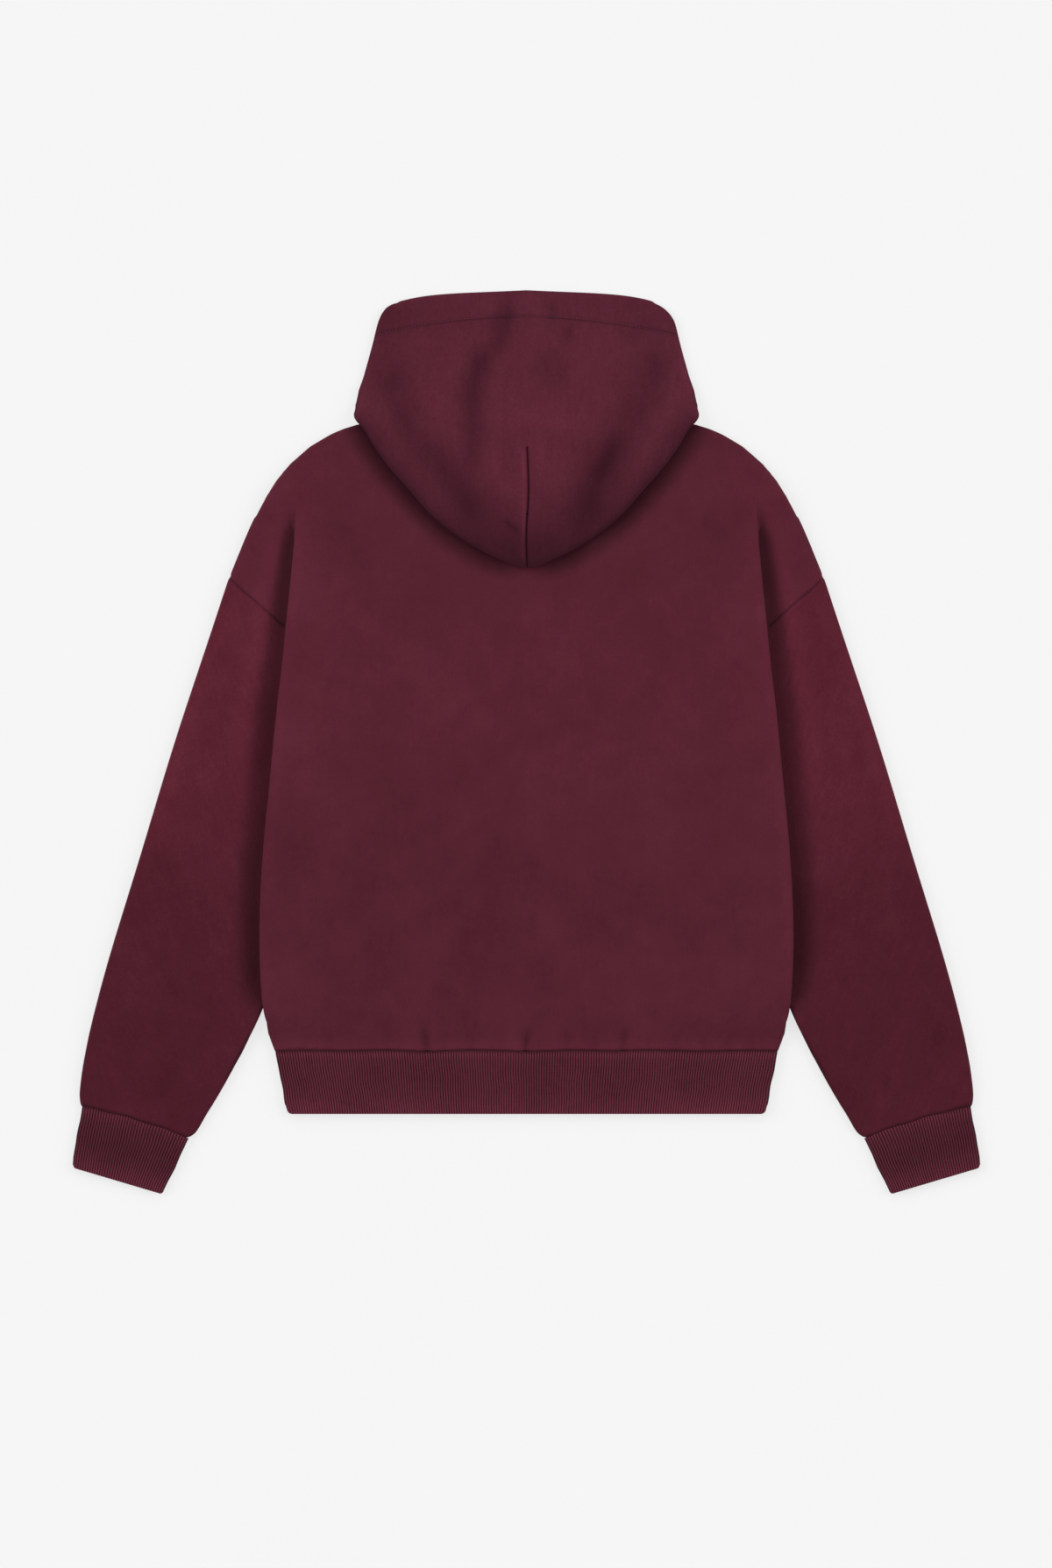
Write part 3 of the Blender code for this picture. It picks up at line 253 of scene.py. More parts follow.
# Right half of the line where the hood's drooping edge lies over the back, and the edge of the side fold
DROOP_LINE = ((0, 178.8), (39, 193), (69, 210), (98.5, 233.5), (119, 257.5), (140.5, 282), (157.5, 305), (170, 327.5))
FOLD_LINE = ((236, 246), (237.5, 230), (239, 203), (240.7, 185), (244, 152.5), (247.5, 117.5), (252.5, 68), (256, 41),
             (259.8, 5), (264.4, -45), (270.8, -110), (274, -160), (275, -210), (273.4, -250), (270.8, -280))
FOLD_TOP = 30.0  # length over which the fold's edge comes up, and goes at its foot
FOLD_FOOT = 34.0
PRESSED = 0.36  # how far the cloth beside the fold's edge is pressed down, as a share of its height
PRESS_FROM = -7.0  # where that starts, under the fold
PRESS_FULL = 1.0
PRESS_MIDDLE = 6.0
PRESS_REACH = 14.0
PRESS_TOP_Y = 226.0
# y of a place along the side fold, how far outside its edge the painted shadow is full, where that ends, how dark
FOLD_SHADES = ((-282, 5, 18, 0.0), (-262, 8, 25, 0.5), (-230, 10, 29, 0.62), (-110, 12, 32, 0.7), (5, 13, 29, 0.78),
               (68, 12.5, 27, 0.8), (117, 11, 23, 0.82), (152, 10, 21, 0.82), (203, 8, 17, 0.8), (228, 3.5, 11, 0.4),
               (246, 2, 8, 0.0))
EDGE_AT = -0.5  # where the fold's edge turns under
EDGE_SHEEN = 0.17  # how much lighter the painted highlight makes the top of the edge, and how far in
EDGE_SHEEN_IN = 6.0
BEYOND_SHEEN = 0.24  # how much lighter a painted highlight makes the cloth just outside the painted shadow, how far out and over what distance
BEYOND_OUT = 6.0
BEYOND_REACH = 9.0
BEYOND_YS = (-80.0, 10.0)  # where that starts and where it is full
BEYOND_DARK = 0.1  # the least shade that has it
UNDER_EDGE = 9.0  # how far the painted shade goes on under an edge that lies over the cloth
FOLD_UNDERSIDE = 10.3
# Painted shadow on the back under the hood's drooping edge: how dark, how far out it is full and where it ends, and
# how far from the middle it starts and is full
DROOP_SHADE = 0.78
DROOP_SHADE_FULL = 8.0
DROOP_SHADE_END = 25.0
DROOP_SHADE_XS = (2.0, 30.0)
# How dark the painted shade on the hood is along its drooping edge and over what distance, at its tip and at its sides
DROOP_EDGE_SHADES = (0.9, 0.5)
DROOP_EDGE_REACHES = (74.0, 32.0)
DROOP_TIP_HALF = 105.0
EDGE_LINE = 0.3  # a thin line of painted shade right at the edge, and its width
EDGE_LINE_WIDTH = 2.6
# Broad parts painted darker, or lighter where the amount is below 0, each with how much, and limits that are an axis
# of the right half, where the part starts and where it is full
X, Y = 0, 1
SLEEVE_PARTS = ((0.15, (Y, -100.0, -250.0)), (-0.36, (Y, -180.0, -20.0)))
CASING_PART = ((0.13, (Y, 405.0, 435.0)),)
BACK_PARTS = (
    (-0.09, (Y, -60.0, 30.0), (Y, 190.0, 130.0)),
    (-0.10, (X, 190.0, 240.0), (Y, -60.0, 30.0)),
    (0.05, (Y, -70.0, -160.0)),
)
# Painted highlight on the back just above the hem seam: how light, where and how far it reaches
HEM_SHEEN = 0.28
HEM_SHEEN_Y = -313.0
HEM_SHEEN_REACH = 6.0


def beside_fold(points):
    """How far each point is outside the side fold's edge, and the share of the fold's height there."""
    xs, ys = np.array(FOLD_LINE[::-1]).T
    outside = np.abs(points[:, 0]) - np.interp(points[:, 1], ys, xs)
    share = ease((ys[-1] - points[:, 1]) / FOLD_TOP) * ease((points[:, 1] - ys[0]) / FOLD_FOOT)
    return outside, share


def pressed_share(points, below):
    """How far the cloth beside the side fold, and no higher than below, is pressed down."""
    outside, share = beside_fold(points)
    share = share * ease((PRESS_TOP_Y - points[:, 1]) / FOLD_TOP) * (points[:, 2] < below)
    start = rise(outside, PRESS_FROM, PRESS_FULL)
    return PRESSED * share * start * bell(np.maximum(outside - PRESS_MIDDLE, 0.0), PRESS_REACH)


def band(distance, full, end):
    """1 up to the distance full, then down to 0 at end."""
    return 1.0 - rise(distance, full, end)


def fold_shade(points):
    """Painted shadow beside the side fold's edge, and painted highlight along the top of it and just outside the
    shadow.
    """
    outside, share = beside_fold(points)
    ys, fulls, ends, darks = np.array(FOLD_SHADES, float).T
    full, end, dark = (np.interp(points[:, 1], ys, row) for row in (fulls, ends, darks))
    under = (outside > -UNDER_EDGE) & (points[:, 2] < FOLD_UNDERSIDE)
    above = EDGE_SHEEN * share * bell(outside + EDGE_SHEEN_IN, EDGE_SHEEN_IN) * ((outside <= EDGE_AT) & ~under)
    beyond = BEYOND_SHEEN * rise(points[:, 1], *BEYOND_YS) * bell(outside - end - BEYOND_OUT, BEYOND_REACH)
    beyond *= dark > BEYOND_DARK
    return dark * band(outside, full, end) * (under | (outside > EDGE_AT)) - above - beyond


def from_droop(points):
    """How far each point is from the hood's drooping edge, and whether it is on the back's side of it."""
    line = np.array(DROOP_LINE, float)
    folded = right_half(points)
    edge_y = np.interp(folded[:, 0], line[:, 0], line[:, 1])
    return from_line(folded, line)[0], (folded[:, 1] < edge_y) | (folded[:, 0] > line[-1, 0])


def droop_shade(points):
    """Painted shadow on the back under the hood's drooping edge."""
    distance, below = from_droop(points)
    shaded = below | (distance < UNDER_EDGE)
    aside = rise(np.abs(points[:, 0]), *DROOP_SHADE_XS)
    return DROOP_SHADE * shaded * aside * band(distance, DROOP_SHADE_FULL, DROOP_SHADE_END)


def droop_edge_shade(points):
    """Painted shade on the hood where it rolls over to its drooping edge, widest at the tip."""
    distance, _ = from_droop(points)
    aside = ease(np.abs(points[:, 0]) / DROOP_TIP_HALF)
    (tip_dark, side_dark), (tip_reach, side_reach) = DROOP_EDGE_SHADES, DROOP_EDGE_REACHES
    dark = tip_dark + (side_dark - tip_dark) * aside
    reach = tip_reach + (side_reach - tip_reach) * aside
    return dark * band(distance, 0.0, reach) + EDGE_LINE * bell(distance, EDGE_LINE_WIDTH)


def part_shades(points, parts):
    """Painted shade, or highlight where below 0, of broad parts of a panel."""
    shades = np.zeros(len(points))
    for dark, *limits in parts:
        shades += dark * math.prod(rise(right_half(points)[:, axis], start, full) for axis, start, full in limits)
    return shades


# Painted shade and highlight on the hood, laid like creases, and painted shade towards its top edge
def hood_painted_shade(points):
    return crease_heights(points[:, :2], HOOD_PAINTED_SHADES)[1] + part_shades(points, CASING_PART)


# Painted highlight and shade on the sleeve, laid like creases
def sleeve_painted_shade(points):
    return crease_heights(points[:, :2], SLEEVE_PAINTED_SHADES)[1]


def sleeve_sheen(points):
    """The sleeve's upper part is painted lighter and its end darker."""
    return part_shades(points, SLEEVE_PARTS)


def back_sheen(points):
    """The back is painted a little lighter between its shoulders and its waist and at its sides, a little darker below
    its waist, and has a painted highlight above the hem seam.
    """
    return part_shades(points, BACK_PARTS) - HEM_SHEEN * bell(points[:, 1] - HEM_SHEEN_Y, HEM_SHEEN_REACH)


# -------- materials


class Look:
    """A material's nodes, added one by one."""

    def __init__(self, name):
        self.material = bpy.data.materials.new(name)
        self.material.use_nodes = True
        self.tree = self.material.node_tree
        self.shader = self.tree.nodes["Principled BSDF"]

    def add(self, kind, inputs=None, **settings):
        node = self.tree.nodes.new(kind)
        for name, value in settings.items():
            setattr(node, name, value)
        for name, value in (inputs or {}).items():
            self.set(node.inputs[name], value)
        return node

    def set(self, socket, value):
        if isinstance(value, bpy.types.NodeSocket):
            self.tree.links.new(value, socket)
        else:
            socket.default_value = value

    def finish(self, **values):
        """Sets the shader's sockets, named with _ for a space."""
        for name, value in values.items():
            self.set(self.shader.inputs[name.replace("_", " ")], value)
        return self.material

    def place(self, turn=0.0):
        """The piece's own coordinates, in metres, turned about Z by that many degrees."""
        coords = self.add("ShaderNodeTexCoord").outputs["Object"]
        turned = {"Vector": coords, "Rotation": (0.0, 0.0, math.radians(turn))}
        return self.add("ShaderNodeMapping", turned).outputs["Vector"]

    def noise(self, vector, size, detail=3.0, roughness=0.55, distortion=0.0):
        """Soft spots of about that size, in mm."""
        made = self.add("ShaderNodeTexNoise", {
            "Vector": vector, "Scale": 1.0 / (size * MM), "Detail": detail, "Roughness": roughness,
            "Distortion": distortion})
        return made.outputs["Fac"]

    def lines(self, vector, pitch, axis="X", distortion=0.0, detail_scale=1.0):
        """Parallel soft ridges, that pitch apart in mm, across the axis."""
        made = self.add("ShaderNodeTexWave", {
            "Vector": vector, "Scale": WAVE_PERIOD / (pitch * MM), "Distortion": distortion,
            "Detail": 2.0, "Detail Scale": detail_scale}, wave_type="BANDS", bands_direction=axis)
        return made.outputs["Fac"]

    def level(self, value, low, high, to_low, to_high):
        made = self.add("ShaderNodeMapRange", {
            "Value": value, "From Min": low, "From Max": high, "To Min": to_low, "To Max": to_high})
        return made.outputs["Result"]

    def total(self, *rows):
        """The sum of several values, each one put on its own level."""
        return reduce(self.sum, [self.level(*row) for row in rows])

    def sum(self, first, second, operation="ADD"):
        made = self.add("ShaderNodeMath", operation=operation)
        self.set(made.inputs[0], first)
        self.set(made.inputs[1], second)
        return made.outputs["Value"]

    def blend(self, share, first, second):
        made = self.add("ShaderNodeMix", {"Factor": share}, data_type="RGBA")
        self.set(made.inputs[6], first)
        self.set(made.inputs[7], second)
        return made.outputs[2]

    def shade(self, colour, depth):
        """The colour with painted shade: darker by that share in the troughs, seams and shaded places of the cloth,
        and lighter, a painted highlight, on its ridges and lit edges.
        """
        painted_shade = self.add("ShaderNodeAttribute", attribute_name=PAINTED_SHADE).outputs["Fac"]
        made = self.add("ShaderNodeVectorMath", operation="SCALE")
        self.set(made.inputs[0], colour)
        self.set(made.inputs["Scale"], self.level(painted_shade, -1.0, 1.0, 1.0 + depth, 1.0 - depth))
        return made.outputs["Vector"]

    def bump(self, height, distance, strength=1.0, under=None):
        """A relief of that depth in mm, on top of another one."""
        inputs = {"Height": height, "Distance": distance * MM, "Strength": strength}
        if under is not None:
            inputs["Normal"] = under
        return self.add("ShaderNodeBump", inputs).outputs["Normal"]


# Name of the cloth's attribute of painted shade: 1 where it is fully shaded, below 0 where it has a painted highlight
PAINTED_SHADE = "painted_shade"
WAVE_PERIOD = 2.0 * math.pi / 20.0  # period of the wave texture at scale 1
Fleece = namedtuple("Fleece", "dark middle light")
BODY_WINE = Fleece((0.070, 0.0098, 0.0185, 1.0), (0.085, 0.0134, 0.0245, 1.0), (0.102, 0.0180, 0.0315, 1.0))
SLEEVE_WINE = Fleece((0.062, 0.0076, 0.0150, 1.0), (0.076, 0.0104, 0.0200, 1.0), (0.092, 0.0145, 0.0265, 1.0))
HOOD_WINE = Fleece((0.077, 0.0110, 0.0222, 1.0), (0.093, 0.0148, 0.0290, 1.0), (0.112, 0.0200, 0.0368, 1.0))
PAINTED_SHADE_DEPTH = 0.62  # how much darker the painted shade makes the colour where it is 1
NAP_SHEEN = {"Sheen_Roughness": 0.6, "Sheen_Tint": (0.85, 0.34, 0.45, 1.0)}


def fleece(name, wine, turn=0.0, mottle=1.0):
    """Heavy brushed fleece: a faint knit face under a short matt nap, unevenly taken up dye."""
    look = Look(name)
    place = look.place(turn)
    clouds = look.noise(place, 95.0, 3.0, 0.5)
    patches = look.noise(place, 26.0, 4.0, 0.6, 0.3)
    streaks_place = look.add("ShaderNodeMapping", {"Vector": place, "Scale": (1.0, 0.18, 1.0)}).outputs["Vector"]
    streaks = look.noise(streaks_place, 5.0, 3.0, 0.6)
    nap = look.noise(place, 1.3, 3.0, 0.7)
    wales = look.lines(place, 1.25, "X", 1.2, 1.4)
    courses = look.lines(place, 1.05, "Y", 1.4, 1.4)
    spots = look.noise(place, 3.4, 3.0, 0.65)
    broad = look.total((clouds, 0.35, 0.65, 0.30, 0.62), (patches, 0.3, 0.7, -0.14, 0.18))
    fine = look.total((streaks, 0.3, 0.7, -0.07 * mottle, 0.07 * mottle),
                      (nap, 0.25, 0.75, -0.12 * mottle, 0.12 * mottle),
                      (spots, 0.3, 0.7, -0.09 * mottle, 0.09 * mottle))
    share = look.sum(broad, fine)
    below = look.blend(look.level(share, 0.0, 0.5, 0.0, 1.0), wine.dark, wine.middle)
    colour = look.blend(look.level(share, 0.5, 1.0, 0.0, 1.0), below, wine.light)
    knit = look.sum(look.sum(wales, courses, "MULTIPLY"), 0.5, "MULTIPLY")
    relief = look.bump(patches, 0.9, 0.35)
    relief = look.bump(knit, 0.16, 0.6, relief)
    relief = look.bump(nap, 0.22, 0.8, relief)
    # painted shade in troughs, seams and shaded places, and painted highlight on ridges
    colour = look.shade(colour, PAINTED_SHADE_DEPTH)
    return look.finish(Base_Color=colour, Roughness=0.95, Specular_IOR_Level=0.08, Sheen_Weight=0.1, Normal=relief,
                       **NAP_SHEEN)


# The ends of the rib's colour: crests get painted highlight towards the light end, furrows painted shade towards the
# dark end, and uneven tone lies over both
RIB_DARK = (0.015, 0.0020, 0.0042, 1.0)
RIB_LIGHT = (0.118, 0.0215, 0.0360, 1.0)
CREST = "rib_crest"
FLAT_BELOW = -1.0  # marks the side that lies on the floor
RIB_PITCH = 2.6  # of the painted highlight and shade lines that stand for the ribs on that side


def rib_knit(name, turn):
    """Rib knit: crests painted lighter and furrows painted darker, as painted highlight and shade, a row of small
    stitches along each rib, and the band's painted shade.
    """
    look = Look(name)
    place = look.place(turn)
    crest = look.add("ShaderNodeAttribute", attribute_name=CREST).outputs["Fac"]
    below = look.level(crest, FLAT_BELOW, 0.0, 1.0, 0.0)
    crest = look.sum(look.sum(crest, 0.0, "MAXIMUM"), look.sum(below, look.lines(place, RIB_PITCH), "MULTIPLY"))
    clouds = look.noise(place, 60.0, 3.0, 0.5)
    worn = look.noise(place, 9.0, 3.0, 0.6)
    nap = look.noise(place, 0.9, 3.0, 0.7)
    courses = look.lines(place, 1.5, "Y", 1.0, 2.0)
    share = look.total((crest, 0.0, 1.0, -0.22, 0.95), (clouds, 0.35, 0.65, -0.06, 0.10),
                       (worn, 0.3, 0.7, -0.06, 0.10), (nap, 0.25, 0.75, -0.08, 0.12), (courses, 0.0, 1.0, -0.05, 0.07))
    colour = look.blend(look.level(share, 0.0, 1.0, 0.0, 1.0), RIB_DARK, RIB_LIGHT)
    colour = look.shade(colour, PAINTED_SHADE_DEPTH)
    relief = look.bump(courses, 0.25, 0.7)
    relief = look.bump(nap, 0.2, 0.7, relief)
    return look.finish(Base_Color=colour, Roughness=0.92, Specular_IOR_Level=0.08, Sheen_Weight=0.08, Normal=relief,
                       **NAP_SHEEN)


def zip_weave(name):
    """Tightly woven tape: a fine twill with a smooth run of warp threads along it."""
    look = Look(name)
    place = look.place()
    twill = look.lines(look.place(38.0), 0.9, "X")
    warp = look.lines(place, 0.55, "X")
    nap = look.noise(place, 0.6, 2.0)
    share = look.total((twill, 0.0, 1.0, 0.0, 0.6), (nap, 0.3, 0.7, 0.0, 0.4))
    colour = look.blend(share, (0.036, 0.0070, 0.0125, 1.0), (0.078, 0.0165, 0.0275, 1.0))
    relief = look.bump(look.sum(twill, warp), 0.12, 0.8)
    return look.finish(Base_Color=colour, Roughness=0.75, Specular_IOR_Level=0.3, Normal=relief)


def zip_metal(name, colour, roughness):
    """Cast and tumbled metal: fine scratches along it, duller where it was held."""
    look = Look(name)
    place = look.place(12.0)
    drawn = look.add("ShaderNodeMapping", {"Vector": place, "Scale": (1.0, 0.08, 1.0)}).outputs["Vector"]
    scratches = look.noise(drawn, 0.35, 4.0, 0.7)
    wear = look.noise(place, 4.0, 3.0, 0.6)
    low, high = (tuple(c * share for c in colour) + (1.0,) for share in (0.72, 1.1))
    tone = look.blend(look.level(wear, 0.3, 0.7, 0.0, 1.0), low, high)
    gloss = look.level(look.sum(wear, scratches), 0.7, 1.3, roughness - 0.07, roughness + 0.12)
    relief = look.bump(scratches, 0.03, 0.6)
    return look.finish(Base_Color=tone, Metallic=1.0, Roughness=gloss, Normal=relief)


def thread(name):
    """Polyester sewing thread, with its twist."""
    look = Look(name)
    twist = look.lines(look.place(35.0), 0.35, "X")
    colour = look.blend(twist, (0.062, 0.0115, 0.0215, 1.0), (0.125, 0.0270, 0.0460, 1.0))
    return look.finish(Base_Color=colour, Roughness=0.6, Specular_IOR_Level=0.35,
                       Normal=look.bump(twist, 0.06, 0.6))


def pale_floor(name):
    look = Look(name)
    grain = look.noise(look.place(), 400.0, 2.0)
    colour = look.blend(grain, (0.195, 0.195, 0.195, 1.0), (0.205, 0.205, 0.205, 1.0))
    return look.finish(Base_Color=colour, Roughness=1.0, Specular_IOR_Level=0.0,
                       Emission_Color=(1.0, 1.0, 1.0, 1.0), Emission_Strength=FLOOR_GLOW)


# -------- cloth

MERGE = 1e-6
FLAT_ANGLE = math.radians(40.0)
SHAPE_ANGLE = math.radians(120.0)
RIM_ANGLE = math.radians(72.0)  # edges of the wall, where the cloth was cut, are sharper than this
EDGE_SOFT = 0.3  # how far the cut edges' corners are rounded in
CUT_EDGE = 1  # marks the faces of a cut edge until it is rounded
EDGE_BULGE = 0.95  # how far the middle of a cut edge stands out, to be caught with the next panel's in the seam
# painted shade where a cut edge goes down into a seam
SEAM_SHADE = 0.7
SMOOTH_LEVELS = 2
THIN = 1.3 * CLOTH  # a cut edge is no wider than this
UPRIGHT = 0.7  # share of an upright edge's length that goes up
CLEAR_OF_ALL = 0.1  # a height over everything, in metres
DOWN = Vector((0.0, 0.0, -1.0))
INWARD = 0.3  # how far inside a wall's face the layers are counted
LAYER_SLACK = 0.25  # how much deeper than the wall the upper layer may reach, and where the lower one starts
LAYER_FADE = 0.35


def new_piece(bm, name, look=None):
    mesh = bpy.data.meshes.new(name)
    for face in bm.faces:
        face.smooth = True
    bm.to_mesh(mesh)
    bm.free()
    piece = bpy.data.objects.new(name, mesh)
    bpy.context.scene.collection.objects.link(piece)
    if look is not None:
        piece.data.materials.append(look)
        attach(piece, GARMENT)
    return piece


def solid_of(node):
    """The node's solid as joined faces, four-sided wherever it can be."""
    bm = bmesh.new()
    bm.from_mesh(nodes[node].data)
    bmesh.ops.remove_doubles(bm, verts=bm.verts, dist=MERGE)
    bmesh.ops.join_triangles(bm, faces=bm.faces, angle_face_threshold=FLAT_ANGLE, angle_shape_threshold=SHAPE_ANGLE)
    return bm


def smoothed(bm, free_edge):
    """The same surface, curved instead of faceted. Its cut edges stay straight from point to point, to meet the
    next panel's, except where free_edge, of a point in mm, is true."""
    crease = bm.edges.layers.float.new("crease_edge")
    corner = bm.verts.layers.float.new("crease_vert")
    for face in bm.faces:
        sharp = [e for e in face.edges if e.calc_face_angle(0.0) > RIM_ANGLE]
        apart = len(sharp) == 2 and not set(sharp[0].verts) & set(sharp[1].verts)
        thin = min(e.calc_length() for e in face.edges) < THIN * MM
        face.material_index = CUT_EDGE if apart and thin else 0
    for edge in bm.edges:
        if edge.calc_face_angle(0.0) < RIM_ANGLE:
            continue
        upright = abs(edge.verts[0].co.z - edge.verts[1].co.z) > UPRIGHT * edge.calc_length()
        if upright and all(free_edge(*(vertex.co / MM)) for vertex in edge.verts):
            continue
        edge[crease] = 1.0
        edge.smooth = False
        for vertex in edge.verts:
            if not free_edge(*(vertex.co / MM)):
                vertex[corner] = 1.0
    rough = new_piece(bm, "rough")
    step = rough.modifiers.new("smooth", "SUBSURF")
    step.levels = step.render_levels = SMOOTH_LEVELS
    graph = bpy.context.evaluated_depsgraph_get()
    mesh = bpy.data.meshes.new_from_object(rough.evaluated_get(graph))
    fine = bmesh.new()
    fine.from_mesh(mesh)
    fine.verts.layers.float.new(PAINTED_SHADE)
    bpy.data.meshes.remove(mesh)
    bpy.data.objects.remove(rough)
    return fine


def refine(bm, longest, inside):
    """Splits edges longer than that wherever inside, of an array of points in mm, is true."""
    while True:
        edges = [e for e in bm.edges if e.calc_length() > longest * MM]
        if not edges:
            return
        middles = np.array([(e.verts[0].co + e.verts[1].co)[:] for e in edges]) * (0.5 / MM)
        edges = [edge for edge, wanted in zip(edges, inside(middles)) if wanted]
        if not edges:
            return
        bmesh.ops.subdivide_edges(bm, edges=edges, cuts=1, use_grid_fill=True)


def soften_edges(bm, free_edge):
    """Rounds the wall's cut edges, and paints shade where they go down into a seam."""
    bm.normal_update()
    painted_shade = bm.verts.layers.float[PAINTED_SHADE]
    corners = {v for e in bm.edges if not e.smooth for v in e.verts}
    between = {v for v in bm.verts if all(f.material_index == CUT_EDGE for f in v.link_faces)} - corners
    moves = [(v, v.normal * -EDGE_SOFT * MM) for v in corners]
    moves += [(v, v.normal * EDGE_BULGE * MM) for v in between]
    for vertex, move in moves:
        vertex.co += move
    for vertex in between:
        vertex[painted_shade] = 0.0 if free_edge(*(vertex.co / MM)) else SEAM_SHADE
    for face in bm.faces:
        face.material_index = 0


def top_shares(bm):
    """How far each vertex belongs to the layer that is seen from above: 1 on both faces of its wall, 0 below."""
    bm.normal_update()
    tree = BVHTree.FromBMesh(bm)
    shares = np.zeros(len(bm.verts))
    for index, vertex in enumerate(bm.verts):
        inward = Vector((vertex.normal.x, vertex.normal.y, 0.0)) * (INWARD * MM)
        hit = tree.ray_cast(vertex.co - inward + Vector((0.0, 0.0, CLEAR_OF_ALL)), DOWN)[0]
        depth = (hit.z - vertex.co.z) / MM if hit else CLOTH
        shares[index] = 1.0 - ease((depth - CLOTH - LAYER_SLACK) / LAYER_FADE)
    return shares


LOWER_LAYER = 4.0  # height of a garment's layer that lies on the floor
SEAM_WAVE = ((-275, -0.9), (-230, 0.6), (-185, -0.2), (-140, 0.7), (-100, -1.0), (-62, 0.8), (-25, 0.2), (0, -0.9),
             (45, 0.8), (85, -0.3), (130, 0.7), (180, -0.6), (225, 0.4), (275, -0.5))
WAVE_REACH = 16.0


def seam_wave(points):
    """How far the hem seam wanders up or down, fading out away from it."""
    xs, shifts = zip(*SEAM_WAVE)
    fade = 1.0 - ease(np.abs(points[:, 1] - HEM_SEAM_Y) / WAVE_REACH)
    return np.interp(points[:, 0], xs, shifts) * fade


# Painted shade along the cloth's outline, where it turns down
RIM_SHADE = 0.6
RIM_TURN = 0.5  # how upright the cloth's face is where the painted shade of its rim starts


def rim_shades(bm):
    """Painted shade where the cloth turns down at its outline."""
    bm.normal_update()
    levelness = np.array([abs(v.normal.z) for v in bm.verts])
    return RIM_SHADE * ease((RIM_TURN - levelness) / RIM_TURN)


def lay_creases(bm, creases, shading, pressed_below, folded_over):
    """Moves the upper layer down into its troughs and up onto its ridges, presses what is no higher than pressed_below
    down beside the side folds, and moves the hem seam along its wander. It paints shade into the troughs, seams,
    outline and the places that the shading functions give, and highlight onto the ridges. folded_over is True where
    the panel's own fold lies over a part of it that gets painted shade too."""
    painted_shade = bm.verts.layers.float[PAINTED_SHADE]
    shares = top_shares(bm)
    points = points_of(bm)
    lifts, shades = crease_heights(points[:, :2], creases)
    for shade in shading:
        shades += shade(points)
    under = folded_over & (points[:, 2] > LOWER_LAYER) & (points[:, 2] < FOLD_UNDERSIDE)
    shades = np.clip(shades * np.where(under, 1.0, shares) + rim_shades(bm), LIGHTEST, 1.0)
    presses = pressed_share(points, pressed_below)
    for vertex, lift, shade, press, shift in zip(bm.verts, lifts * shares, shades, presses, seam_wave(points)):
        vertex.co.z = (vertex.co.z + lift * MM) * (1.0 - press)
        vertex.co.y += shift * MM
        vertex[painted_shade] = max(vertex[painted_shade], shade) if vertex[painted_shade] > 0.0 else shade


def pucker_crease(pucker):
    x, lean, length, depth = pucker
    middle = (x + lean * PUCKER_BEND[0], HEM_SEAM_Y + length * PUCKER_BEND[1])
    return Crease((x, HEM_SEAM_Y - PUCKER_FOOT), middle, (x + lean, HEM_SEAM_Y + length * PUCKER_TOP), PUCKER_WIDTH,
                  depth, PUCKER_ENDS)


def nowhere(x, y, z):
    return False


NOTHING_PRESSED = -1.0
ALL_PRESSED = 20.0


def cloth(node, name, look, creases, reshape, regions=(), free_edge=nowhere, shading=(),
          pressed_below=NOTHING_PRESSED, folded_over=False):
    """A panel on its solid's form. regions are (longest edge, where) for the places that need a finer mesh."""
    bm = smoothed(solid_of(node), free_edge)
    for longest, inside in regions:
        refine(bm, longest, inside)
    soften_edges(bm, free_edge)
    lay_creases(bm, creases, shading, pressed_below, folded_over)
    reshape(bm)
    piece = new_piece(bm, name, look)
    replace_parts(piece, node)
    return piece


HOOD_TOP_FALL = 2.1  # how far at most the hood's top edge is lowered between its middle and its corners
HOOD_TOP_HALF = 140.0
HOOD_TOP_YS = (405.0, 450.0)
TIP_FULLNESS = 1.5  # how far the drooping edge hangs lower on each side of its tip
TIP_REACH = 12.0
TIP_ABOVE = 18.0
# How far the hood's sides stand out, where, and how far that reaches up, down and in
Bulge = namedtuple("Bulge", "out y reach inside")
HOOD_BULGES = (Bulge(4.6, 332.5, 8.0, 146.0), Bulge(2.1, 433.0, 20.0, 122.0))
BULGE_FADE = 24.0
Corner = namedtuple("Corner", "x y inward down radius")
HOOD_CORNERS = (
    Corner(-144.4, 446.4, (0.953, 0.303), (-0.362, -0.932), 9.0),
    Corner(144.4, 446.4, (-0.953, 0.303), (0.362, -0.932), 21.0),
)


def shape_hood(bm):
    """Lets the hood's top edge fall away from its middle, rounds its corners and fills out its drooping tip."""
    points = points_of(bm)[:, :2]
    across = np.abs(points[:, 0])
    moves = np.zeros_like(points)
    fall = np.sin(math.pi * np.minimum(across / HOOD_TOP_HALF, 1.0))
    moves[:, 1] -= HOOD_TOP_FALL * fall * rise(points[:, 1], *HOOD_TOP_YS)
    edge_y = np.interp(across, *np.array(DROOP_LINE, float).T)
    near_edge = 1.0 - ease((points[:, 1] - edge_y) / TIP_ABOVE)
    moves[:, 1] -= TIP_FULLNESS * across / TIP_REACH * np.exp(1.0 - across / TIP_REACH) * near_edge
    for corner in HOOD_CORNERS:
        to_corner = np.linalg.inv(np.array((corner.inward, corner.down)).T)
        u, v = ((points - (corner.x, corner.y)) @ to_corner.T / corner.radius).T
        near = np.clip(1.0 - u, 0.0, 1.0) ** 2 * np.clip(1.0 - v, 0.0, 1.0) ** 2 * (u + v < 2.0)
        moves += near[:, None] * corner.radius / 4.0 * (np.array(corner.inward) + corner.down)
    for bulge in HOOD_BULGES:
        share = bell(points[:, 1] - bulge.y, bulge.reach) * ease((across - bulge.inside) / BULGE_FADE)
        moves[:, 0] += bulge.out * share * np.sign(points[:, 0])
    move(bm, moves)


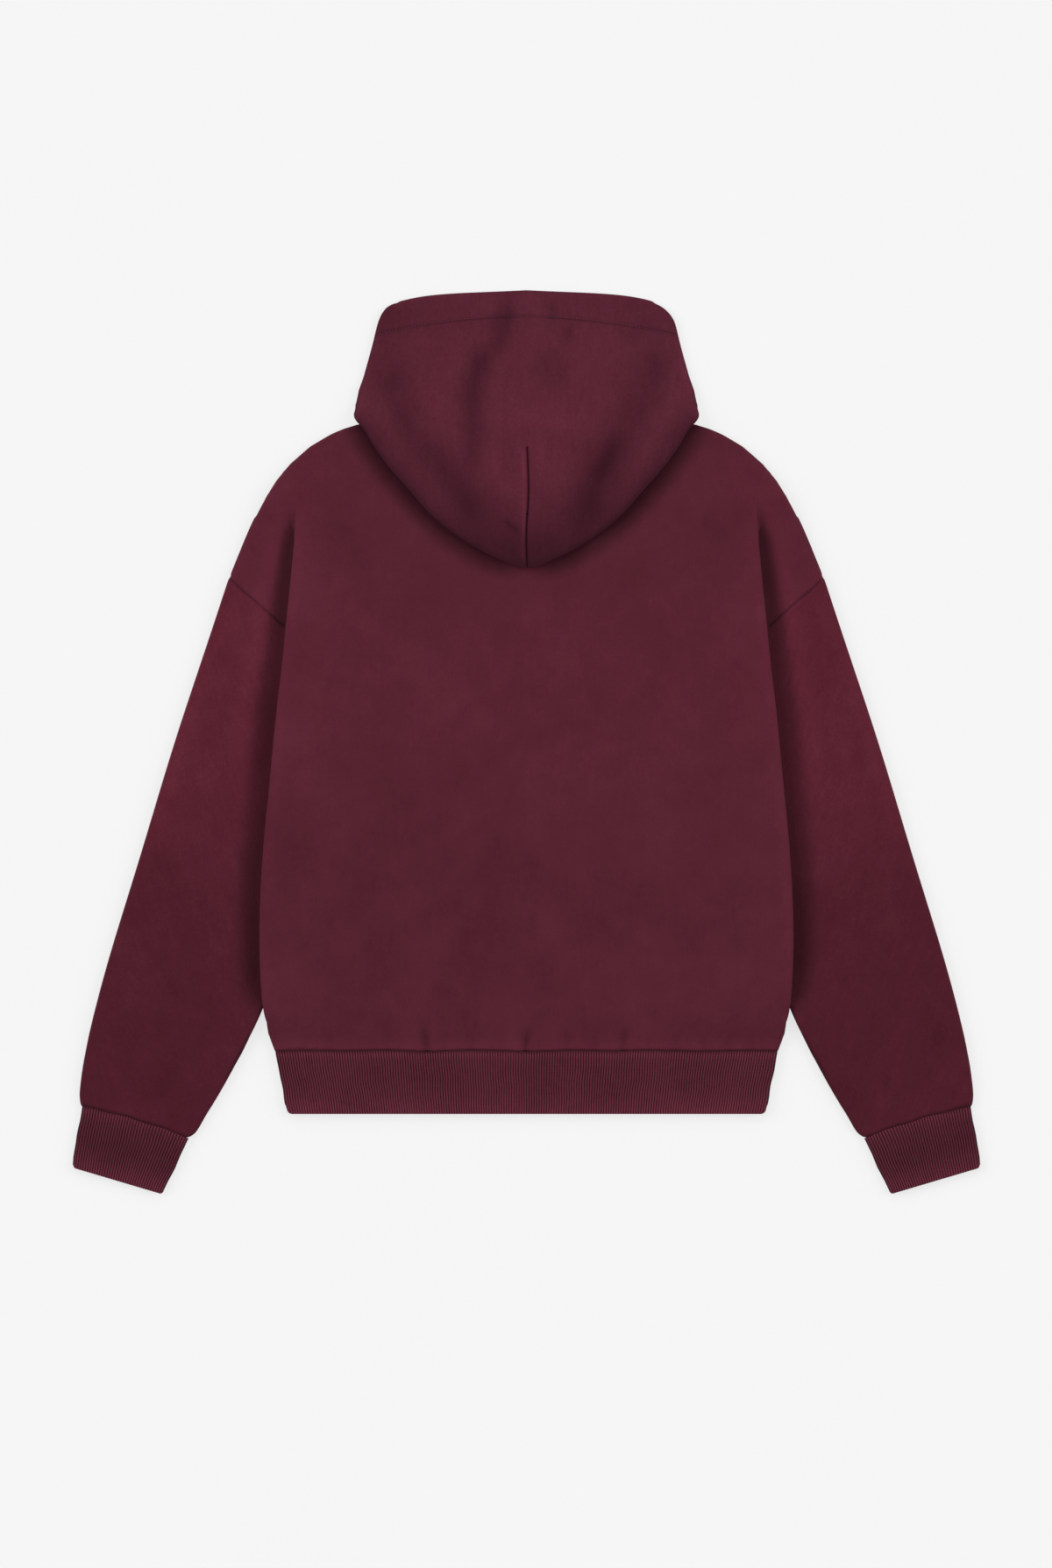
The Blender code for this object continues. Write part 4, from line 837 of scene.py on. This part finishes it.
# Outer and inner end of the right cuff's seam
CUFF_SEAM = ((455.0, -375.4), (352.4, -406.0))
CUFF_END = ((462.9, -435.6), (372.6, -461.8))  # the ends of its folded edge
CUFF_CORNER = 3.2
CORNER_REACH = 2.2  # how far from a band's end its corners' rounding goes, in their radius
CUFF_TURN = 16.5
CUFF_FLARE = 6.0  # how much wider the cuff is at the inner end of its seam
CUFF_FLARE_FROM = 0.1
CUFF_STRETCH = 2.6  # how much longer and, at its outer corner, wider it is pulled
CUFF_STRETCH_AT_SEAM = 0.4
CUFF_LENGTH = 58.0
CUFF_SHADE = 0.34  # how much darker the cuff is painted half-way along it
CUFF_SHADE_REACH = 22.0
CUFF_ARC = 2.3  # how far the seam's middle curves up the sleeve
CUFF_ARC_REACH = 26.0
CUFF_WAVE = (0.45, 9.0)  # a small wave along the seam, its height and how often it turns
PUFF_OUTER = 1.5  # how far the sleeve stands out over the seam at its outer and its inner edge
PUFF_INNER = 4.3
PUFF_LIFT = 1.0
PUFF_MIDDLE = 2.8
PUFF_REACH = 4.2
PUFF_TAPER = 16.0  # length over which it fades out up the sleeve
PUFF_END = 1.1  # how far past the seam's ends it goes on growing
PUFF_LIFT_ZS = (3.5, 5.5)


def from_ends(points, ends):
    """Of points in mm: how far up the sleeve from the line between the cuff's outer and inner end, how far out from
    its middle, half its length, and the directions outward and up."""
    outer, inner = np.array(ends)
    half = np.hypot(*(outer - inner)) / 2.0
    outward = (outer - inner) / (2.0 * half)
    up = np.array((-outward[1], outward[0]))
    from_middle = right_half(points) - (outer + inner) / 2.0
    return from_middle @ up, from_middle @ outward, half, outward, up


def at_cuff(points):
    """How far up the sleeve from the cuff seam, -1 to 1 from its inner to its outer end, and the directions."""
    above, out, half, outward, up = from_ends(points, CUFF_SEAM)
    return above, out / half, outward, up


def corner_lift(above, out, half, radius):
    """How far the end of a band is moved in to round its corners, less and less above it."""
    past = np.clip(np.abs(out) - (half - radius), 0.0, radius)
    return (radius - np.sqrt(radius**2 - past**2)) * band(above, 0.0, CORNER_REACH * radius)


def cuff_arc(points):
    """How far the cuff seam and what is near it is moved, as (x, y)."""
    above, along, _, up = at_cuff(points)
    height, turns = CUFF_WAVE
    arc = CUFF_ARC * (1.0 - np.clip(along, -1.0, 1.0) ** 2) + height * np.sin(turns * along)
    return both_halves((arc * (1.0 - ease(np.abs(above) / CUFF_ARC_REACH)))[:, None] * up, points)


def shape_cuff(bm):
    """Lets the cuff's sewn edge follow the seam's curve, rounds the corners of its folded end and paints the cuff
    darker half-way along it.
    """
    points = points_of(bm)
    above, out, half, _, up = from_ends(points, CUFF_END)
    shifts = both_halves(corner_lift(above, out, half, CUFF_CORNER)[:, None] * up, points)
    above, along, seam_outward, seam_up = at_cuff(points)
    down = np.clip(-above / CUFF_LENGTH, 0.0, 1.0)
    pull = CUFF_STRETCH_AT_SEAM + (1.0 - CUFF_STRETCH_AT_SEAM) * down
    widened = CUFF_STRETCH * pull * np.clip(along, 0.0, 1.0)
    widened -= CUFF_FLARE * (1.0 - down) * rise(along, CUFF_FLARE_FROM, -1.0)
    pulled = both_halves(widened[:, None] * seam_outward - (CUFF_STRETCH * down)[:, None] * seam_up, points)
    move(bm, shifts + pulled + cuff_arc(points))
    painted_shade = bm.verts.layers.float[PAINTED_SHADE]
    for vertex, shade in zip(bm.verts, CUFF_SHADE * bell(above + CUFF_LENGTH / 2.0, CUFF_SHADE_REACH)):
        vertex[painted_shade] += shade


def puff_sleeve(bm):
    """Fills out the sleeve above its cuff seam, so that it stands over the narrower cuff."""
    points = points_of(bm)
    above, along, outward, _ = at_cuff(points)
    from_fullest = above - PUFF_MIDDLE
    swell = bell(from_fullest, np.where(from_fullest < 0.0, PUFF_REACH, PUFF_TAPER))
    out = np.where(along > 0.0, PUFF_OUTER, PUFF_INNER) * np.clip(along, -PUFF_END, PUFF_END) ** 3 * swell
    shifts = both_halves(out[:, None] * outward, points) + cuff_arc(points)
    lifts = PUFF_LIFT * swell * np.clip(1.0 - along**4, 0.0, 1.0) * rise(points[:, 2], *PUFF_LIFT_ZS)
    move(bm, np.column_stack((shifts, lifts)))


# Outer and inner end of the right armhole seam, and how far each panel reaches into it there
ARMHOLE = ((304.0, 166.0), (248.6, 117.4))
INTO_ARMHOLE = (0.9, 0.45)
INTO_ARMHOLE_REACH = 5.0
PAST_ARMHOLE = -1.0  # a cut edge may lie this far on the other panel's side


def into_armhole(bm, way):
    """Moves a panel's cut edge into the armhole seam: way is 1 for the body above it and -1 for the sleeve below."""
    points = points_of(bm)
    folded = right_half(points)
    outer, inner = np.array(ARMHOLE)
    run = (inner - outer) / np.hypot(*(inner - outer))
    above = np.array((run[1], -run[0]))
    distance, along = from_line(folded, np.array(ARMHOLE))
    near = (1.0 - ease(distance / INTO_ARMHOLE_REACH)) * ((folded - outer) @ above * way > PAST_ARMHOLE)
    reach = INTO_ARMHOLE[0] + (INTO_ARMHOLE[1] - INTO_ARMHOLE[0]) * along
    move(bm, both_halves((-way * near * reach)[:, None] * above, points))


def shape_body(bm):
    into_armhole(bm, 1)


def shape_sleeve(bm):
    into_armhole(bm, -1)
    puff_sleeve(bm)


def near_line(creases, reach):
    """A region within that distance of the creases' lines."""
    lines = [crease_line(crease) for crease in creases]
    return lambda points: np.any([from_line(points[:, :2], line)[0] < reach for line in lines], axis=0)


def on_top(height):
    return lambda points: points[:, 2] > height


def everywhere(points):
    return np.full(len(points), True)


def above_hem(reach, half):
    """A region of the upper layer, up to that far above the hem seam and that far from its middle."""
    return lambda points: (points[:, 1] < HEM_SEAM_Y + reach) & (np.abs(points[:, 0]) < half) & (points[:, 2] > 3.0)


# -------- ribs

RIB_ANGLE = math.radians(25.0)  # edges between a rib's two sides are sharper than this
CREST_ROUND = 0.42
FURROW = 0.12  # how much deeper the furrows get than the solid's
ALONG_RIB = 0.9  # an edge along a rib points at least this much along it
RIB_WANDER = 0.45
RIB_WAVES = ((1.0, 7.0, 31.0), (0.6, 15.0, -17.0))  # size of each, its turns down the band and how it drifts across
SEWN_CUTS = (1.3, 2.8, 4.6)  # extra rows beside the sewn end, where the band dips into the seam
SEWN_DIP = 0.6
SEWN_REACH = 1.5
# Painted shade where the band dips into the seam
SEWN_SHADE = 0.9
# Painted shade at each distance in mm from the sewn end, and painted highlight where it is below 0
RIB_SHEENS = ((0.0, 0.0), (2.2, -0.2), (4.0, -0.3), (10.0, 0.06),
              (30.0, 0.08), (46.0, -0.04), (58.0, -0.36), (70.0, -0.4))
SEWN_IN = 0.6  # how far the sewn end reaches into the seam
SEWN_ROW = 0.1  # what is nearer to that end than this belongs to it
HEM_END_Y = -383.0
HEM_CORNER_X = 246.0
HEM_CORNER = 5.5  # radius of the hem's lower corners


def ribbed(node, name, along, steps, shape, turn):
    """A doubled rib band on its solid's form, with rounded crests that wander a little along its length."""
    bm = solid_of(node)
    along = Vector(along).normalized()
    across = along.cross(Vector((0.0, 0.0, 1.0)))
    crest_layer = bm.verts.layers.float.new(CREST)
    rows = [v.co.dot(along) for v in bm.verts]
    low, high = min(rows), max(rows)
    crests = []
    furrows = set()
    for edge in bm.edges:
        way = (edge.verts[1].co - edge.verts[0].co).normalized()
        if edge.calc_face_angle(0.0) < RIB_ANGLE or abs(way.dot(along)) < ALONG_RIB:
            continue
        if edge.is_convex:
            crests.append(edge)
        else:
            furrows.update(edge.verts)
    for vertex in furrows:
        vertex.co.z -= FURROW * MM
    rounded = bmesh.ops.bevel(bm, geom=crests, offset=CREST_ROUND * MM, segments=2, profile=0.5, material=-1,
                              affect="EDGES")
    for vertex in rounded["verts"]:
        vertex[crest_layer] = 1.0
    cuts = [low + (high - low) * step / steps for step in range(1, steps)]
    for row in cuts + [high - distance * MM for distance in SEWN_CUTS]:
        everything = bm.verts[:] + bm.edges[:] + bm.faces[:]
        bmesh.ops.bisect_plane(bm, geom=everything, dist=MERGE, plane_no=along, plane_co=along * row)
    for edge in bm.edges:
        edge.smooth = edge.calc_face_angle(0.0) < RIM_ANGLE
    painted_shade = bm.verts.layers.float.new(PAINTED_SHADE)
    middle = max(v.co.z for v in bm.verts) / 2.0
    # Painted shade in the seam and along the outline, and painted shade and highlight along the band
    for vertex, rim in zip(bm.verts, rim_shades(bm)):
        from_seam = (high - vertex.co.dot(along)) / MM
        dip = math.exp(-((from_seam / SEWN_REACH) ** 2))
        vertex[painted_shade] = SEWN_SHADE * dip + float(np.interp(from_seam, *zip(*RIB_SHEENS))) + rim
        if vertex.co.z > middle:
            vertex.co.z -= SEWN_DIP * dip * MM
        else:
            vertex[crest_layer] = FLAT_BELOW
        if from_seam < SEWN_ROW:
            vertex.co += along * SEWN_IN * MM
        down = min((vertex.co.dot(along) - low) / (high - low), 1.0)
        place = vertex.co.dot(across) / MM
        wander = sum(size * math.sin(down * turns + place / drift) for size, turns, drift in RIB_WAVES)
        vertex.co += across * (wander * RIB_WANDER * math.sin(math.pi * down) * MM)
    shape(bm)
    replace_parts(new_piece(bm, name, rib_knit(name, turn)), node)


def shape_hem(bm):
    """Lets the hem's sewn edge follow the seam's wander and rounds its lower corners."""
    points = points_of(bm)
    lifts = seam_wave(points) + corner_lift(points[:, 1] - HEM_END_Y, points[:, 0], HEM_CORNER_X, HEM_CORNER)
    move(bm, np.column_stack((np.zeros(len(points)), lifts)))


# -------- stitches and zip teeth

STITCH = (2.7, 0.55, 0.45)  # length, width, height
STITCH_SUNK = 0.05
STITCH_PITCH = 3.4
TOOTH = (3.3, 1.25, 2.0)
TOOTH_PITCH = 2.5  # between two teeth of one side
TOOTH_NOSE = 0.9  # how far a tooth reaches past the middle of the zip
TOOTH_ROUND = 0.28
TEETH_FROM_Y = -368.5
TEETH_TO_Y = 222.5
PARTED_FROM_Y = 237.5
PARTED_TO_Y = 241.0
PARTED_NOSE = -0.9
TAPE = 0.8  # thickness of the tapes
ON_TAPE_X = 5.0  # where their height is taken
STOP = (3.0, 3.2, 2.2)
STOP_X = 1.0  # inner end of a stop
STOP_Y = 243.6
NARROWED = (1.0, 0.72, 0.9)  # of a block's nose


def copies(name, unit, places, look):
    """One mesh of many copies of a small bmesh, one for each matrix."""
    mesh = bpy.data.meshes.new(name)
    unit.to_mesh(mesh)
    unit.free()
    joined = bmesh.new()
    for place in places:
        before = len(joined.verts)
        joined.from_mesh(mesh)
        joined.verts.ensure_lookup_table()
        bmesh.ops.transform(joined, matrix=place, verts=joined.verts[before:])
    bpy.data.meshes.remove(mesh)
    return new_piece(joined, name, look)


def heights_of(piece):
    """A function that gives the height in mm of the piece's upper face at (x, y) mm, or None beside it."""
    tree = BVHTree.FromPolygons([v.co for v in piece.data.vertices], [p.vertices for p in piece.data.polygons])

    def height(x, y):
        hit = tree.ray_cast(Vector((x * MM, y * MM, CLEAR_OF_ALL)), DOWN)[0]
        return hit.z / MM if hit else None

    return height


def stitch_row(name, piece, line):
    """Stitches of a sewing machine on the piece, along the line."""
    unit = bmesh.new()
    bmesh.ops.create_icosphere(unit, subdivisions=2, radius=0.5)
    bmesh.ops.scale(unit, vec=[size * MM for size in STITCH], verts=unit.verts)
    height_at = heights_of(piece)
    places = []
    lengths = np.concatenate(([0.0], np.cumsum(np.hypot(*np.diff(line, axis=0).T))))
    for start in np.arange(STITCH_PITCH, lengths[-1] - STITCH_PITCH, STITCH_PITCH):
        ends = [np.array([np.interp(at, lengths, line[:, axis]) for axis in (X, Y)])
                for at in (start, start + STITCH[0])]
        heights = [height_at(*end) for end in ends]
        if None in heights:
            continue
        low, high = (Vector((*end, height - STITCH_SUNK)) * MM for end, height in zip(ends, heights))
        turn = (high - low).to_track_quat("X", "Z")
        places.append(Matrix.Translation((low + high) / 2) @ turn.to_matrix().to_4x4())
    return copies(name, unit, places, wine_thread)


def coat(node, look):
    nodes[node].data.materials.clear()
    nodes[node].data.materials.append(look)


def block(size):
    """A small cast block with rounded edges, narrower at its -X end."""
    bm = bmesh.new()
    bmesh.ops.create_cube(bm, size=1.0)
    nose = [v for v in bm.verts if v.co.x < 0.0]
    bmesh.ops.scale(bm, vec=NARROWED, verts=nose)
    bmesh.ops.scale(bm, vec=[length * MM for length in size], verts=bm.verts)
    bmesh.ops.bevel(bm, geom=bm.edges[:], offset=TOOTH_ROUND * MM, segments=1, profile=0.5, material=-1,
                    affect="EDGES")
    return bm


def zip_teeth(side, way):
    """The teeth that grip one tape's inner edge, and the stop above them."""
    height_at = heights_of(nodes["zip_tape_" + side])
    turn = Matrix.Scale(way, 4, (1.0, 0.0, 0.0))
    first = TEETH_FROM_Y + (TOOTH_PITCH / 2 if way > 0 else 0.0)
    rows = [(y, TOOTH_NOSE) for y in np.arange(first, TEETH_TO_Y, TOOTH_PITCH)]
    rows += [(y, PARTED_NOSE) for y in np.arange(PARTED_FROM_Y, PARTED_TO_Y, TOOTH_PITCH)]
    places = []
    for y, nose in rows:
        z = height_at(way * ON_TAPE_X, y) - TAPE / 2
        places.append(Matrix.Translation(Vector((way * (TOOTH[0] / 2 - nose), y, z)) * MM) @ turn)
    teeth = copies(f"zip_teeth_{side}", block(TOOTH), places, tooth_metal)
    z = height_at(way * ON_TAPE_X, STOP_Y) - TAPE / 2
    place = Matrix.Translation(Vector((way * (STOP[0] / 2 + STOP_X), STOP_Y, z)) * MM) @ turn
    stop = copies(f"zip_stop_{side}", block(STOP), [place], steel)
    if way < 0:
        for piece in (teeth, stop):
            piece.data.flip_normals()


# -------- the garment

HOOD_OPENING_Y = 380.0  # the hood's edge above this isn't sewn to another panel
HOOD_MOTTLE = 2.0
SLEEVE_MOTTLE = 1.8
SLEEVE_TURN = 17.0
CUFF_WAY = (-14.8, 58.8)  # from the right cuff's folded end to its seam
HEM_STEPS = 13  # lengths that a rib is divided into
CUFF_STEPS = 9
body_look = fleece("fleece_body", BODY_WINE)
hood_look = fleece("fleece_hood", HOOD_WINE, mottle=HOOD_MOTTLE)
tape_look = zip_weave("zip_tape")
steel = zip_metal("zip_metal", (0.66, 0.65, 0.63), 0.32)
tooth_metal = zip_metal("zip_teeth", (0.42, 0.40, 0.39), 0.36)
wine_thread = thread("thread")

back_creases = BODY_CREASES + tuple(map(pucker_crease, HEM_PUCKERS)) + ARMHOLE_SEAMS + (HEM_SEAM,)
cloth("back_panel", "back_cloth", body_look, back_creases, shape_body, regions=(
    (6.0, on_top(4.0)),
    (2.6, above_hem(26.0, 245.0)),
    (1.4, above_hem(4.0, 280.0)),
    (1.4, near_line(ARMHOLE_SEAMS, 4.0)),
), shading=(fold_shade, droop_shade, back_sheen), pressed_below=FOLD_UNDERSIDE, folded_over=True)
hood_creases = HOOD_CREASES + HOOD_SEAM + (SEAM_ALLOWANCE, CASING_STITCH)
hood = cloth("hood", "hood_cloth", hood_look, hood_creases, shape_hood, regions=(
    (4.0, everywhere),
    (1.0, near_line(HOOD_SEAM, 3.0)),
    (1.3, near_line((CASING_STITCH,), 3.0)),
), free_edge=lambda x, y, z: y > HOOD_OPENING_Y, shading=(droop_edge_shade, hood_painted_shade))
for side, creases, way in (("left", SLEEVE_CREASES_LEFT, -1), ("right", SLEEVE_CREASES_RIGHT, 1)):
    cloth("front_" + side, f"front_{side}_cloth", body_look, (), shape_body,
          pressed_below=FOLD_UNDERSIDE)
    sleeve_look = fleece("fleece_sleeve_" + side, SLEEVE_WINE, way * SLEEVE_TURN, SLEEVE_MOTTLE)
    sleeve_regions = ((6.0, on_top(3.0)), (1.4, near_line(ARMHOLE_SEAMS, 4.0)), (2.4, near_line(CUFF_SEAMS, 14.0)))
    cloth("sleeve_" + side, f"sleeve_{side}_cloth", sleeve_look, creases + ARMHOLE_SEAMS + CUFF_SEAMS,
          shape_sleeve, regions=sleeve_regions, shading=(fold_shade, sleeve_sheen, sleeve_painted_shade),
          pressed_below=ALL_PRESSED)
ribbed("hem_rib", "hem_rib_knit", (0.0, 1.0, 0.0), HEM_STEPS, shape_hem, 0.0)
for side, way in zip(("left", "right"), LEFT_RIGHT):
    ribbed("cuff_" + side, f"cuff_{side}_knit", (way * CUFF_WAY[X], CUFF_WAY[Y], 0.0), CUFF_STEPS, shape_cuff,
           way * -CUFF_TURN)
    coat("zip_tape_" + side, tape_look)
for node in ("zip_slider", "zip_box", "pull_tab"):
    coat(node, steel)
stitches = stitch_row("casing_stitches", hood, crease_line(CASING_STITCH))
zip_teeth("left", -1)
zip_teeth("right", 1)

# A sheet's cut, opened out flat, in metres: width and length, its area where it isn't a rectangle, and what it lies
# on.
Cut = namedtuple("Cut", "piece width length area under")

# -------- floor, light and camera

# Sizes in metres from here on
FLOOR_SIZE = 12.0
FLOOR_Z = -0.0004
FLOOR_GLOW = 0.72
SKY = 0.42
# Where a soft box stands from the middle, its tilt from overhead and its spread in degrees, its share of the light
SoftBox = namedtuple("SoftBox", "name x y tilt spread share")
SOFT_BOXES = (
    SoftBox("left_box", -1.0, 0.30, 60.0, 36.0, 0.25),
    SoftBox("right_box", 1.0, 0.20, 60.0, 36.0, 0.21),
    SoftBox("head_box", 0.0, 1.0, 56.0, 36.0, 0.12),
)
bm = bmesh.new()
bmesh.ops.create_grid(bm, x_segments=1, y_segments=1, size=FLOOR_SIZE / 2)
bmesh.ops.translate(bm, vec=(0.0, 0.0, FLOOR_Z), verts=bm.verts)
floor = new_piece(bm, "floor")
floor.data.materials.append(pale_floor("pale_floor"))

world = bpy.data.worlds.new("studio")
world.use_nodes = True
world.node_tree.nodes["Background"].inputs["Color"].default_value = (1.0, 1.0, 1.0, 1.0)
world.node_tree.nodes["Background"].inputs["Strength"].default_value = SKY
bpy.context.scene.world = world
for box in SOFT_BOXES:
    tilt = math.radians(box.tilt)
    sun = bpy.data.lights.new(box.name, "SUN")
    sun.energy = box.share * math.pi / math.cos(tilt)
    sun.angle = math.radians(box.spread)
    lamp = bpy.data.objects.new(box.name, sun)
    towards = Vector((box.x, box.y, 0.0)).normalized() * math.sin(tilt) + Vector((0.0, 0.0, math.cos(tilt)))
    lamp.rotation_euler = towards.to_track_quat("Z", "Y").to_euler()
    bpy.context.scene.collection.objects.link(lamp)

FRAME_HEIGHT = 1.6101
FRAME_CENTRE = (-0.00045, -0.0441)
CAMERA_HEIGHT = 3.0
camera = bpy.data.objects.new("camera", bpy.data.cameras.new("camera"))
camera.data.type = "ORTHO"
camera.data.ortho_scale = FRAME_HEIGHT
camera.location = (*FRAME_CENTRE, CAMERA_HEIGHT)
bpy.context.scene.collection.objects.link(camera)
bpy.context.scene.camera = camera
bpy.context.scene.view_settings.view_transform = "Standard"
